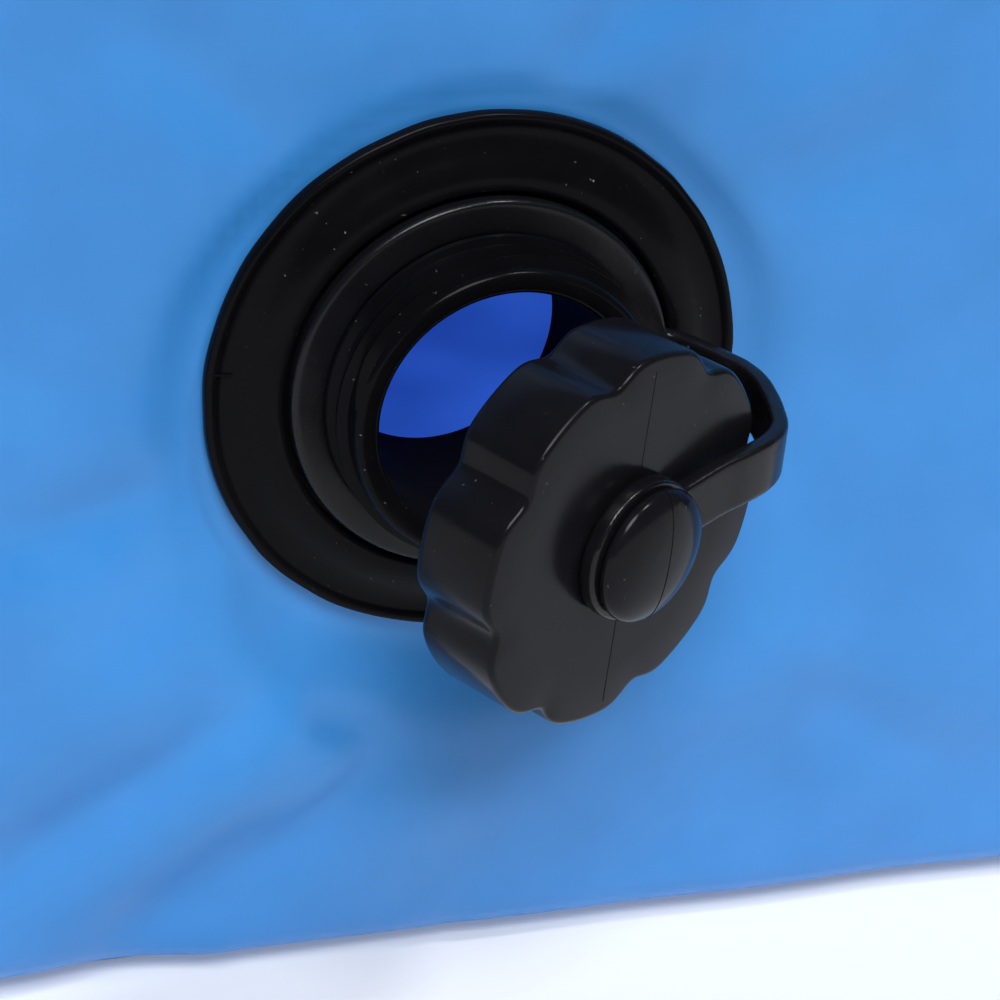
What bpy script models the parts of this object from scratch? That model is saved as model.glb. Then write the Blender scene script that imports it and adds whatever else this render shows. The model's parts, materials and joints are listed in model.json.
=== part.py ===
"""Inflatable air track mat, 3.0 x 1.0 x 0.2 m: drop-stitch body, screw valve and six handles.

Frame: origin at the centre of the underside, +Y along the mat, +X across it, +Z up.
The valve is in the end wall at -Y. Run with: blender --background --python part.py
"""
import math

import bmesh
import bpy
from mathutils import Matrix, Vector

MM = 0.001

# ---- Mat body -----------------------------------------------------------------------------
LENGTH = 3.0
WIDTH = 1.0
THICKNESS = 0.2
CORNER_R = 80 * MM          # corner of the mat seen from above
FOLD_R = 13 * MM            # fold of the wall band onto the top and bottom
SKIN = 1.5 * MM             # coated fabric
TAPE = 1.0 * MM             # seam tape, lap strips and backing ring
GAP = 0.3 * MM              # room between welded layers
LAP = 45 * MM               # how far a band reaches over the top or bottom
CORNER_STEPS = 7
FOLD_STEPS = 5
BAND_END_Y = LENGTH / 2 - CORNER_R - 20 * MM   # where end bands meet side bands

# ---- Valve, in millimetres along its axis from the wall's outer face ------------------------
VALVE_X = -0.30
VALVE_Z = 0.1005
FLANGE_R = 40.0
BORE_R = 18.6
NECK_R = 22.3
NECK_TOP = 16.4
NECK_TAIL = -17.0
GROOVE_R = 22.5             # seat of the tether ring
COLLAR_R = 23.9
THREAD_R = 23.9
THREAD_PITCH = 3.6
THREAD_START = 8.6
THREAD_TURNS = 1.6
THREAD_HALF_WIDTH = 1.15
WALL_HOLE_R = 23.0
VALVE_STEPS = 40

# ---- Cap, in millimetres from the middle of its face, +z out of the face -------------------
CAP_LOBE_R = 27.4
CAP_FLUTE_R = 26.0
CAP_LOBES = 8
CAP_LOBE_PHASE = math.radians(37.9)
CAP_HEIGHT = 12.9
CAP_BORE_R = 24.4
CAP_FACE = 3.0
GASKET_THICK = 1.2
KNOB_R = 9.7
STEM_R = 5.7
CAP_FACE_AT = (7.9, -6.3, 42.5)        # right, up and out from the valve's centre
CAP_TURN = math.radians(27.6)          # how far the hanging cap faces to the right
CAP_NOD = math.radians(2.3)            # and down

# ---- Tether, moulded in one with its ring and eye -------------------------------------------
RING_IN_R = 23.0
RING_OUT_R = 28.3
RING_LOW = 2.6
RING_HIGH = 5.5
STRAP_WIDE = 8.2
STRAP_THICK = 2.6
EYE_HOLE_R = 6.2
EYE_R = 10.3
EYE_LOW = 0.5
HINGE_SPLIT = 0.85                     # half of the gap at the strap's bend, room for 60 degrees
FLEX_AT = (36.2, 1.7, 18.9)            # right, up and out: the middle of the curl
STRAP_FROM_RING = [(26.6, 2.9, 4.05), (28.9, 2.8, 5.2), (31.3, 2.6, 8.3), (33.5, 2.3, 11.5),
                   (35.5, 2.0, 14.9), FLEX_AT]
STRAP_TO_EYE = [(33.9, 7.2, -4.4), (31.4, 7.0, -1.3), (28.4, 6.7, 1.7), (24.5, 6.3, 3.1),
                (20.0, 5.7, 3.1), (15.5, 4.9, 2.5), (8.6, 3.1, 1.8)]   # in the cap's frame

# ---- Handles, in millimetres along the wall, up it and out of it -----------------------------
PATCH_LONG = 92.0
PATCH_TALL = 78.0
PATCH_CORNER = 18.0
WEB_WIDE = 38.0
WEB_THICK = 2.0
HANDLE_HALF = 76.0                     # from the middle to where a tail leaves its patch
BOW_HALF = 52.0                        # the part of the webbing that swings
BOW_SPLIT = 0.35                       # half of the gap between it and its anchored ends
BOW_FLAT = 18.0                        # half of the bow's flat middle
BOW_REACH = 44.0
BOW_DROOP = math.radians(35)
TAIL_LONG = 56.0
TAIL_PROUD = 0.2                       # stitched tails are a little fuller than the free webbing
AXIS_OUT = 2.6                         # of the webbing's middle, off the wall


def clear_scene():
    for thing in list(bpy.data.objects):
        bpy.data.objects.remove(thing, do_unlink=True)


def material(name, colour, roughness):
    mat = bpy.data.materials.new(name)
    mat.use_nodes = True
    shader = mat.node_tree.nodes["Principled BSDF"]
    shader.inputs["Base Color"].default_value = (*colour, 1.0)
    shader.inputs["Roughness"].default_value = roughness
    return mat


def add_object(name, bm, mat, parent=None):
    """Make an object of a bmesh that is in its parent's frame."""
    bmesh.ops.recalc_face_normals(bm, faces=bm.faces)
    mesh = bpy.data.meshes.new(name)
    bm.to_mesh(mesh)
    bm.free()
    mesh.shade_smooth()
    mesh.set_sharp_from_angle(angle=math.radians(35))
    mesh.materials.append(mat)
    thing = bpy.data.objects.new(name, mesh)
    bpy.context.collection.objects.link(thing)
    thing.parent = parent
    return thing


def add_frame(name, matrix, parent=None):
    """Add an empty; matrix is given in the parent's frame."""
    empty = bpy.data.objects.new(name, None)
    bpy.context.collection.objects.link(empty)
    empty.parent = parent
    empty.matrix_local = matrix
    return empty


def loft(rings, closed=False):
    """Skin equal rings of points one after another, with flat ends unless closed."""
    bm = bmesh.new()
    loops = [[bm.verts.new(point) for point in ring] for ring in rings]
    pairs = list(zip(loops, loops[1:]))
    if closed:
        pairs.append((loops[-1], loops[0]))
    for first, second in pairs:
        for k in range(len(first)):
            m = (k + 1) % len(first)
            bm.faces.new((first[k], first[m], second[m], second[k]))
    if not closed:
        bm.faces.new(loops[0])
        bm.faces.new(loops[-1])
    return bm


def millimetres(bm):
    bmesh.ops.scale(bm, vec=(MM, MM, MM), verts=bm.verts)
    return bm


def turned(profile, steps=VALVE_STEPS):
    """Spin a closed (radius, height) outline about Z."""
    bm = bmesh.new()
    corners = [bm.verts.new((r, 0.0, z)) for r, z in profile]
    edges = [bm.edges.new((corners[k - 1], corners[k])) for k in range(len(corners))]
    bmesh.ops.spin(bm, geom=corners + edges, cent=(0, 0, 0), axis=(0, 0, 1),
                   angle=2 * math.pi, steps=steps, use_merge=True)
    return bm


def cut(target, cutter):
    """Cut target with cutter, which stays as a hidden guide."""
    cutter.hide_render = True
    cutter.display_type = "WIRE"
    boolean = target.modifiers.new("cut", "BOOLEAN")
    boolean.operation = "DIFFERENCE"
    boolean.object = cutter
    boolean.solver = "EXACT"


def join(target, other):
    """Weld other to target as one solid; other stays as a hidden guide."""
    cut(target, other)
    target.modifiers["cut"].operation = "UNION"
    target.modifiers["cut"].name = "weld"


# ---- The mat's outline -----------------------------------------------------------------------

def corner(cx, cy, start):
    """Points and outward directions along one rounded corner, a quarter turn from start."""
    turn = [start + math.pi / 2 * k / CORNER_STEPS for k in range(CORNER_STEPS + 1)]
    return [((cx, cy), (math.cos(a), math.sin(a))) for a in turn]


def outline():
    """The whole outline, counter-clockwise, as (corner centre, outward direction) pairs."""
    cx = WIDTH / 2 - CORNER_R
    cy = LENGTH / 2 - CORNER_R
    quarter = math.pi / 2
    return (corner(-cx, -cy, 2 * quarter) + corner(cx, -cy, 3 * quarter)
            + corner(cx, cy, 0) + corner(-cx, cy, quarter))


def at(station, inset, z):
    """A point that lies inset from the wall's outer face at one station of the outline."""
    (cx, cy), (nx, ny) = station
    reach = CORNER_R - inset
    return (cx + nx * reach, cy + ny * reach, z)


def sweep(section, path, closed=False):
    return loft([[at(station, inset, z) for inset, z in section] for station in path], closed)


def plate(name, inset, low, high, mat):
    """A flat sheet of the mat's outline, inset from the wall."""
    bm = bmesh.new()
    rim = [bm.verts.new(at(station, inset, low)) for station in outline()]
    face = bm.faces.new(rim)
    raised = bmesh.ops.extrude_face_region(bm, geom=[face])
    tops = [v for v in raised["geom"] if isinstance(v, bmesh.types.BMVert)]
    bmesh.ops.translate(bm, vec=(0, 0, high - low), verts=tops)
    return add_object(name, bm, mat)


BAND_LOW = SKIN + GAP                     # a band's lower lap lies on the bottom panel
PANEL_HIGH = THICKNESS - SKIN - GAP       # the top panel's upper face, under the upper lap


def fold(radius, cz, start, sweep_angle, steps=FOLD_STEPS):
    """(inset, z) points of a fold whose middle is FOLD_R in from the wall."""
    angles = [start + sweep_angle * k / steps for k in range(steps + 1)]
    return [(FOLD_R - radius * math.cos(a), cz + radius * math.sin(a)) for a in angles]


def band_section(offset=0.0):
    """A band's section: wall, two folds and two laps."""
    quarter = math.pi / 2
    low_z = BAND_LOW + FOLD_R
    high_z = THICKNESS - FOLD_R
    outer = ([(LAP, BAND_LOW)] + fold(FOLD_R, low_z, -quarter, quarter)
             + fold(FOLD_R, high_z, 0, quarter) + [(LAP, THICKNESS)])
    inner_r = FOLD_R - SKIN
    inner = ([(LAP, THICKNESS - SKIN)] + fold(inner_r, high_z, quarter, -quarter)
             + fold(inner_r, low_z, 0, -quarter) + [(LAP, BAND_LOW + SKIN)])
    return outer + inner


def side_station(side, y):
    """A station on a long side, at y; side is 1 at +X and -1 at -X."""
    return ((side * (WIDTH / 2 - CORNER_R), y), (side, 0.0))


def make_bands(skin):
    cx = WIDTH / 2 - CORNER_R
    cy = LENGTH / 2 - CORNER_R
    quarter = math.pi / 2
    end = BAND_END_Y
    front = ([side_station(-1, -end)] + corner(-cx, -cy, 2 * quarter)
             + corner(cx, -cy, 3 * quarter) + [side_station(1, -end)])
    rear = ([side_station(1, end)] + corner(cx, cy, 0)
            + corner(-cx, cy, quarter) + [side_station(-1, end)])
    section = band_section()
    front_band = add_object("end_band_front", sweep(section, front), skin)
    add_object("end_band_rear", sweep(section, rear), skin)
    near = end - GAP
    add_object("side_band_right", sweep(section, [side_station(1, -near), side_station(1, near)]), skin)
    add_object("side_band_left", sweep(section, [side_station(-1, near), side_station(-1, -near)]), skin)
    return front_band


def lap_strip_section():
    """A strip over the joint of two bands: top, fold, wall and the start of the lower fold."""
    quarter = math.pi / 2
    low_z = BAND_LOW + FOLD_R
    high_z = THICKNESS - FOLD_R
    inner_r = FOLD_R + GAP
    outer_r = inner_r + TAPE
    reach = 22 * MM
    inner = (fold(inner_r, low_z, -quarter / 2, quarter / 2, 3) + fold(inner_r, high_z, 0, quarter)
             + [(reach, THICKNESS + GAP)])
    outer = ([(reach, THICKNESS + GAP + TAPE)] + fold(outer_r, high_z, quarter, -quarter)
             + fold(outer_r, low_z, 0, -quarter / 2, 3))
    return inner + outer


def make_lap_strips(skin):
    half = 30 * MM
    names = {(-1, -1): "lap_strip_front_left", (1, -1): "lap_strip_front_right",
             (-1, 1): "lap_strip_rear_left", (1, 1): "lap_strip_rear_right"}
    for (side, end), name in names.items():
        middle = end * BAND_END_Y
        path = [side_station(side, middle - half), side_station(side, middle + half)]
        add_object(name, sweep(lap_strip_section(), path), skin)


def tape_section(lap_z, panel_z, up):
    """A stepped tape over a lap's edge; up is 1 on the top and -1 under the chamber's floor."""
    start = LAP - 20 * MM
    step = LAP + GAP
    stop = LAP + 20 * MM
    low = [(start, lap_z + up * GAP), (step, lap_z + up * GAP), (step, panel_z + up * GAP),
           (stop, panel_z + up * GAP)]
    high = [(stop, panel_z + up * (GAP + TAPE)), (step + TAPE, panel_z + up * (GAP + TAPE)),
            (step + TAPE, lap_z + up * (GAP + TAPE)), (start, lap_z + up * (GAP + TAPE))]
    return low + high


def make_panels(skin, tape):
    plate("bottom_panel", 8 * MM, 0.0, SKIN, skin)
    plate("top_panel", FOLD_R + 1 * MM, PANEL_HIGH - SKIN, PANEL_HIGH, skin)
    add_object("top_seam_tape", sweep(tape_section(THICKNESS, PANEL_HIGH, 1), outline(), True), tape)
    floor_tape = sweep(tape_section(BAND_LOW + SKIN, SKIN, 1), outline(), True)
    add_object("bottom_seam_tape", floor_tape, tape)


def make_core(cloth):
    """Two base cloths held apart by drop yarns; a few stout posts stand for the yarns."""
    edge = LAP + 27 * MM
    cloth_thick = 0.8 * MM
    low = SKIN + GAP
    high = PANEL_HIGH - SKIN - GAP
    half_x = WIDTH / 2 - edge
    half_y = LENGTH / 2 - edge
    post = 12 * MM
    pitch = 0.2
    columns = [-0.3, -0.1, 0.1, 0.3]
    rows = [pitch * (k - 6) for k in range(14) if pitch * (k - 6) < half_y]

    def lines(centres, half):
        marks = [-half] + [c + s * post / 2 for c in centres for s in (-1, 1)] + [half]
        return marks

    xs = lines(columns, half_x)
    ys = lines(rows, half_y)
    bm = bmesh.new()

    def grid(z):
        return [[bm.verts.new((x, y, z)) for y in ys] for x in xs]

    def is_post(i, j):
        return i % 2 == 1 and j % 2 == 1

    inner_low = grid(low + cloth_thick)
    inner_high = grid(high - cloth_thick)
    for sheet in (inner_low, inner_high):
        for i in range(len(xs) - 1):
            for j in range(len(ys) - 1):
                if not is_post(i, j):
                    bm.faces.new((sheet[i][j], sheet[i + 1][j], sheet[i + 1][j + 1], sheet[i][j + 1]))
    for i in range(1, len(xs) - 1, 2):
        for j in range(1, len(ys) - 1, 2):
            ring = [(i, j), (i + 1, j), (i + 1, j + 1), (i, j + 1)]
            for (a, b), (c, d) in zip(ring, ring[1:] + ring[:1]):
                bm.faces.new((inner_low[a][b], inner_low[c][d], inner_high[c][d], inner_high[a][b]))
    outside = [e for e in bm.edges if e.is_boundary]
    thick = bmesh.ops.extrude_edge_only(bm, edges=outside)
    moved = [v for v in thick["geom"] if isinstance(v, bmesh.types.BMVert)]
    for vert in moved:
        vert.co.z = low if vert.co.z < THICKNESS / 2 else high
    rims = [e for e in bm.edges if e.is_boundary]
    bmesh.ops.holes_fill(bm, edges=rims, sides=0)
    add_object("drop_stitch_core", bm, cloth)


# ---- Valve -----------------------------------------------------------------------------------

def thread_radius(angle, height):
    """The neck's outer radius with its helical thread."""
    radius = NECK_R
    for turn in range(-1, int(THREAD_TURNS) + 2):
        along = turn + angle / (2 * math.pi)
        if not 0 <= along <= THREAD_TURNS:
            continue
        ridge = THREAD_START + THREAD_PITCH * along
        away = abs(height - ridge) / THREAD_HALF_WIDTH
        taper = min(1.0, along / 0.08, (THREAD_TURNS - along) / 0.08)
        radius = max(radius, NECK_R + (THREAD_R - NECK_R) * taper * min(1.0, max(0.0, 1.6 * (1 - away))))
    return radius


def valve_rings():
    """(radius, height) outlines of the valve at each angle, as a closed loop."""
    lead = [(BORE_R, NECK_TAIL), (BORE_R + 1.2, NECK_TAIL - 0.6), (NECK_R - 0.9, NECK_TAIL - 0.6),
            (NECK_R - 0.2, NECK_TAIL), (NECK_R - 0.2, 0.3), (FLANGE_R - 0.6, 0.3), (FLANGE_R, 0.9),
            (FLANGE_R - 0.2, 2.0), (FLANGE_R - 1.0, 2.4), (FLANGE_R - 2.4, 1.9), (FLANGE_R - 4, 2.2),
            (33.0, 4.0), (31.6, 4.3), (30.2, 4.0), (28.9, 2.3), (GROOVE_R, 2.3), (GROOVE_R, 6.1),
            (COLLAR_R - 0.4, 6.2), (COLLAR_R, 6.6), (COLLAR_R - 0.3, 7.1)]
    lip = [(NECK_R - 0.5, NECK_TOP - 0.3), (NECK_R - 1.3, NECK_TOP), (BORE_R + 1.6, NECK_TOP),
           (BORE_R + 0.6, NECK_TOP - 0.5), (BORE_R, NECK_TOP - 1.6), (BORE_R, 0.0)]
    count = 11
    heights = [7.4 + (NECK_TOP - 0.9 - 7.4) * k / count for k in range(count + 1)]
    rings = []
    for step in range(VALVE_STEPS):
        angle = 2 * math.pi * step / VALVE_STEPS
        threaded = [(thread_radius(angle, h), h) for h in heights]
        profile = lead + threaded + lip
        rings.append([(r * math.cos(angle), r * math.sin(angle), z) for r, z in profile])
    return rings


def ring_of(inner, outer, low, high, bevel=0.0):
    """A flat ring, with its outer corners bevelled where a bevel is given."""
    if not bevel:
        return turned([(inner, low), (outer, low), (outer, high), (inner, high)])
    return turned([(inner, low), (outer - bevel, low), (outer, low + bevel),
                   (outer, high - bevel), (outer - bevel, high), (inner, high)])


def smooth_route(points, pieces=4):
    """A Catmull-Rom curve through the points."""
    points = [Vector(p) for p in points]
    padded = [2 * points[0] - points[1]] + points + [2 * points[-1] - points[-2]]
    route = []
    for k in range(1, len(padded) - 2):
        a, b, c, d = padded[k - 1:k + 3]
        for m in range(pieces):
            s = m / pieces
            route.append(0.5 * (2 * b + (c - a) * s + (2 * a - 5 * b + 4 * c - d) * s ** 2
                                + (3 * b - a - 3 * c + d) * s ** 3))
    return route + [points[-1]]


def ribbon(route, wide, thick, side_ways, square=False):
    """A flat strap along a route; side_ways gives the width's direction at a share of the way.

    A square strap's two end faces are trimmed at right angles to X.
    """
    rings = []
    last = len(route) - 1
    for k, middle in enumerate(route):
        ahead = (route[min(k + 1, last)] - route[max(k - 1, 0)]).normalized()
        across = side_ways(k / last)
        across = (across - ahead * across.dot(ahead)).normalized()
        out = ahead.cross(across)
        corners = [(-1, -1), (1, -1), (1, 1), (-1, 1)]
        ring = [middle + across * wide / 2 * a + out * thick / 2 * b for a, b in corners]
        if square and k in (0, last):
            ring = [corner + ahead * (middle.x - corner.x) / ahead.x for corner in ring]
        rings.append(ring)
    return loft(rings)


def valve_frame():
    """Local x along +X, y up and z out of the front wall."""
    turn = Matrix(((1, 0, 0), (0, 0, -1), (0, 1, 0))).to_4x4()
    return Matrix.Translation((VALVE_X, -LENGTH / 2, VALVE_Z)) @ turn


def cap_frame():
    """The cap's face in the valve's frame: turned to the right, then nodded down."""
    place = Matrix.Translation(Vector(CAP_FACE_AT) * MM)
    return place @ Matrix.Rotation(CAP_TURN, 4, "Y") @ Matrix.Rotation(CAP_NOD, 4, "X")


def cap_radius(angle):
    wave = 0.5 - 0.5 * math.cos(CAP_LOBES * (angle - CAP_LOBE_PHASE))
    return CAP_LOBE_R - (CAP_LOBE_R - CAP_FLUTE_R) * wave ** 1.6


def cap_bmesh():
    """Skirt with lobes, bore, face and knob, skinned ring after ring."""
    steps = 7 * CAP_LOBES
    angles = [CAP_LOBE_PHASE + 2 * math.pi * k / steps for k in range(steps)]

    def circle(radius, z):
        return [(radius * math.cos(a), radius * math.sin(a), z) for a in angles]

    def lobed(inset, z):
        return [((cap_radius(a) - inset) * math.cos(a), (cap_radius(a) - inset) * math.sin(a), z)
                for a in angles]

    knob = [(STEM_R, 0.0), (STEM_R, 3.4), (KNOB_R - 0.9, 3.4), (KNOB_R, 4.4),
            (KNOB_R - 0.4, 5.3), (KNOB_R - 2.2, 6.4), (KNOB_R - 5.6, 7.1)]
    rings = ([circle(CAP_BORE_R - 6, -CAP_FACE), circle(CAP_BORE_R, -CAP_FACE),
              circle(CAP_BORE_R, -CAP_HEIGHT), lobed(0.4, -CAP_HEIGHT), lobed(0, -CAP_HEIGHT + 0.5),
              lobed(0, -1.4), lobed(0.5, -0.4), lobed(1.4, 0.0)]
             + [circle(r, z) for r, z in knob])
    return loft(rings)


def make_valve(black, rubber, tape, front_band):
    valve = add_frame("valve_axis", valve_frame())
    add_object("valve_body", millimetres(loft(valve_rings(), closed=True)), black, valve)
    backing_low = -(SKIN + GAP + TAPE) / MM
    backing = ring_of(WALL_HOLE_R + 1, 56.0, backing_low, backing_low + TAPE / MM)
    add_object("valve_backing_ring", millimetres(backing), tape, valve)
    hole = turned([(0.001, -8), (WALL_HOLE_R, -8), (WALL_HOLE_R, 8), (0.001, 8)])
    bmesh.ops.remove_doubles(hole, verts=hole.verts, dist=0.01)
    cut(front_band, add_object("valve_hole_guide", millimetres(hole), tape, valve))

    ring_bm = millimetres(ring_of(RING_IN_R, RING_OUT_R, RING_LOW, RING_HIGH, 0.6))
    ring = add_object("tether_ring", ring_bm, rubber, valve)
    up = Vector((0, 1, 0))
    to_curl = smooth_route(STRAP_FROM_RING)
    to_curl[-1] = to_curl[-1] - (to_curl[-1] - to_curl[-2]).normalized() * HINGE_SPLIT
    inner_half = millimetres(ribbon(to_curl, STRAP_WIDE, STRAP_THICK, lambda share: up))
    join(ring, add_object("tether_ring_strap_guide", inner_half, rubber, valve))

    flex = add_frame("tether_flex_axis", Matrix.Translation(Vector(FLEX_AT) * MM), valve)
    cap_in_flex = Matrix.Translation(-Vector(FLEX_AT) * MM) @ cap_frame()
    cap = add_frame("cap_axis", cap_in_flex, flex)
    eye_high = EYE_LOW + STRAP_THICK
    eye = add_object("tether_eye", millimetres(ring_of(EYE_HOLE_R, EYE_R, EYE_LOW, eye_high, 0.4)),
                     rubber, cap)
    flex_in_cap = cap_in_flex.inverted() @ Vector((0, 0, 0)) / MM
    from_curl = smooth_route([flex_in_cap] + STRAP_TO_EYE)
    from_curl[0] = from_curl[0] + (from_curl[1] - from_curl[0]).normalized() * HINGE_SPLIT
    outer_half = millimetres(ribbon(from_curl, STRAP_WIDE, STRAP_THICK, lambda share: up))
    join(eye, add_object("tether_eye_strap_guide", outer_half, rubber, cap))

    add_object("valve_cap", millimetres(cap_bmesh()), black, cap)
    gasket_high = -CAP_FACE - GAP / MM
    gasket = ring_of(BORE_R + 0.6, CAP_BORE_R - 0.5, gasket_high - GASKET_THICK, gasket_high)
    add_object("cap_gasket", millimetres(gasket), rubber, cap)


# ---- Handles ---------------------------------------------------------------------------------

def ease(share):
    """A smooth step from 0 to 1."""
    share = min(1.0, max(0.0, share))
    return share * share * (3 - 2 * share)


def bow_lift(along):
    """How far the slack webbing stands away from its line of anchors."""
    return BOW_REACH * ease((HANDLE_HALF - abs(along)) / (HANDLE_HALF - BOW_FLAT))


def bow_point(along):
    """The webbing's middle at a place along the wall, in the handle's frame."""
    lift = bow_lift(along)
    return Vector((along, -lift * math.sin(BOW_DROOP), AXIS_OUT + lift * math.cos(BOW_DROOP)))


def bow_lean(along):
    """The direction of the webbing's width: upright at the patch, leaning with the droop further out."""
    room = 0.55 * bow_lift(along) * math.cos(BOW_DROOP) / (WEB_WIDE / 2)
    angle = min(BOW_DROOP, math.asin(min(1.0, room)))
    return Vector((0, math.cos(angle), math.sin(angle)))


def webbing(start, stop, count):
    places = [start + (stop - start) * k / count for k in range(count + 1)]
    route = [bow_point(place) for place in places]
    return ribbon(route, WEB_WIDE, WEB_THICK, lambda share: bow_lean(start + (stop - start) * share),
                  square=True)


def patch_plate(middle):
    """A rounded rectangle of coated fabric, welded flat to the wall."""
    bm = bmesh.new()
    thick = TAPE / MM
    bmesh.ops.create_cube(bm, size=1.0)
    bmesh.ops.scale(bm, vec=(PATCH_LONG, PATCH_TALL, thick), verts=bm.verts)
    upright = [e for e in bm.edges if abs(e.verts[0].co.z - e.verts[1].co.z) > thick / 2]
    bmesh.ops.bevel(bm, geom=upright, offset=PATCH_CORNER, offset_type="OFFSET", segments=4,
                    profile=0.5, affect="EDGES", material=-1)
    bmesh.ops.translate(bm, vec=(middle, 0, GAP / MM + thick / 2), verts=bm.verts)
    return bm


def make_handle(name, frame, skin, web):
    """Two patches, each holding a tail, and the free bow between them."""
    root = add_frame(name + "_axis", frame @ Matrix.Translation((0, 0, AXIS_OUT * MM)))
    lower = Matrix.Translation((0, 0, -AXIS_OUT * MM))
    for side, tag in ((-1, "a"), (1, "b")):
        tail_middle = side * (HANDLE_HALF + TAIL_LONG / 2)
        plate_bm = millimetres(patch_plate(side * (HANDLE_HALF + PATCH_LONG / 2 - 12)))
        plate_bm.transform(lower)
        patch = add_object(f"{name}_patch_{tag}", plate_bm, skin, root)
        tail = bmesh.new()
        bmesh.ops.create_cube(tail, size=1.0)
        low = GAP / MM + 0.2
        high = AXIS_OUT + WEB_THICK / 2 + TAIL_PROUD
        wide = WEB_WIDE + 2 * TAIL_PROUD
        bmesh.ops.scale(tail, vec=(TAIL_LONG, wide, high - low), verts=tail.verts)
        bmesh.ops.translate(tail, vec=(tail_middle, 0, (high + low) / 2), verts=tail.verts)
        millimetres(tail).transform(lower)
        join(patch, add_object(f"{name}_tail_guide_{tag}", tail, web, root))
        stub = millimetres(webbing(side * (HANDLE_HALF + 1.5), side * (BOW_HALF + BOW_SPLIT), 6))
        stub.transform(lower)
        join(patch, add_object(f"{name}_stub_guide_{tag}", stub, web, root))
    bow = millimetres(webbing(-BOW_HALF + BOW_SPLIT, BOW_HALF - BOW_SPLIT, 18))
    bow.transform(lower)
    add_object(f"{name}_strap", bow, web, root)


def wall_frame(x, y, angle):
    """A frame on a wall: x along it, y up and z outwards; angle turns it from the front wall."""
    upright = Matrix(((1, 0, 0), (0, 0, -1), (0, 1, 0))).to_4x4()
    return Matrix.Translation((x, y, THICKNESS / 2)) @ Matrix.Rotation(angle, 4, "Z") @ upright


def make_handles(skin, web):
    quarter = math.pi / 2
    side_y = 0.75
    spots = {"handle_front": (0, -LENGTH / 2, 0), "handle_rear": (0, LENGTH / 2, 2 * quarter),
             "handle_right_front": (WIDTH / 2, -side_y, quarter),
             "handle_right_rear": (WIDTH / 2, side_y, quarter),
             "handle_left_front": (-WIDTH / 2, -side_y, -quarter),
             "handle_left_rear": (-WIDTH / 2, side_y, -quarter)}
    for name, (x, y, angle) in spots.items():
        make_handle(name, wall_frame(x, y, angle), skin, web)


def build():
    clear_scene()
    skin = material("blue_coated_fabric", (0.06, 0.26, 0.68), 0.38)
    tape = material("blue_seam_tape", (0.05, 0.22, 0.60), 0.42)
    cloth = material("drop_stitch_cloth", (0.10, 0.32, 0.75), 0.8)
    black = material("black_moulded_plastic", (0.012, 0.012, 0.014), 0.35)
    rubber = material("black_soft_plastic", (0.015, 0.015, 0.017), 0.45)
    web = material("black_webbing", (0.02, 0.02, 0.023), 0.8)
    front_band = make_bands(skin)
    make_panels(skin, tape)
    make_core(cloth)
    make_lap_strips(tape)
    make_valve(black, rubber, tape, front_band)
    make_handles(skin, web)


build()
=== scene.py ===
# %% [markdown]
# # Air track mat
#
# An air track is a long inflatable mat for tumbling. Its top and bottom are held flat by thousands of
# threads, its walls are bands of coated fabric, and a screw valve in one end wall lets the air in.
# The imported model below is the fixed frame: it says where each piece is. This lesson builds the fine
# surface of every piece around it, from the camera and the light to the last stitch of the handles.

# %% Load the frame
import json
import math

import bmesh
import bpy
from mathutils import Matrix, Vector, noise


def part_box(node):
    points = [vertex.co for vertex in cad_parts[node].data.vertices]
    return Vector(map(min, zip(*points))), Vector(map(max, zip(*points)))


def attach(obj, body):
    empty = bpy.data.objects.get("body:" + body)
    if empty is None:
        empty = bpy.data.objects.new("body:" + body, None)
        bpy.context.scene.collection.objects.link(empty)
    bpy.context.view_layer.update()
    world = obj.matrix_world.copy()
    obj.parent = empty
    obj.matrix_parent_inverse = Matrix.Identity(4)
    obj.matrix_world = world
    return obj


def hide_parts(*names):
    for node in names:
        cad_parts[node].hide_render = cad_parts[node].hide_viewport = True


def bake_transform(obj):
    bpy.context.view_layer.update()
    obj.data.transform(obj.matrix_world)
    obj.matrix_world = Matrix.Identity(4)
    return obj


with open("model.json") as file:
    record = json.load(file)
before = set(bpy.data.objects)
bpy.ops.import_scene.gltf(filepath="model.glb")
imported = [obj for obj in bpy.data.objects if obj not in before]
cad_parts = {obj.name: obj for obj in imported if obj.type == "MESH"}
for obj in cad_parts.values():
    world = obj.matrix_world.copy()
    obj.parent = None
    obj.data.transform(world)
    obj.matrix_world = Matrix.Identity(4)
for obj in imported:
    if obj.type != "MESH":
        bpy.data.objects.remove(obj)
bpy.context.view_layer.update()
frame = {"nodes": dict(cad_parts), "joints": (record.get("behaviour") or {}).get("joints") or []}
joints = {joint["name"]: joint for joint in frame["joints"]}

MM = 0.001

# %% [markdown]
# ## Places that everything hangs on
#
# The valve's centre is where the tether's ring turns, the cap's place and tilt are those of the joint
# that spins it, and the mat's outline is the box of its bands. Reading them from the frame means that
# nothing has to be typed twice. Each of the two valve frames has X to the right, Y up and Z outwards.

# %% Read the driving places
valve_at = Vector(joints["tether_swivel"]["pos_m"])
bend_at = Vector(joints["tether_flex"]["pos_m"])
cap_at = Vector(joints["cap_spin"]["pos_m"])
cap_out = Vector(joints["cap_spin"]["axis"]).normalized()

band_low, band_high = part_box("end_band_front")
rear_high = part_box("end_band_rear")[1]
floor_low, floor_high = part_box("bottom_panel")
deck_low, deck_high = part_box("top_panel")
HALF_WIDE = band_high.x
HALF_LONG = rear_high.y
TOP = band_high.z
BAND_FLOOR = band_low.z
BAND_END = -band_high.y
SKIN = floor_high.z - floor_low.z
CORNER_R = 80 * MM
FOLD_R = 13 * MM
LAP = 45 * MM
TAPE = 1.0 * MM
GAP = 0.3 * MM

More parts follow.
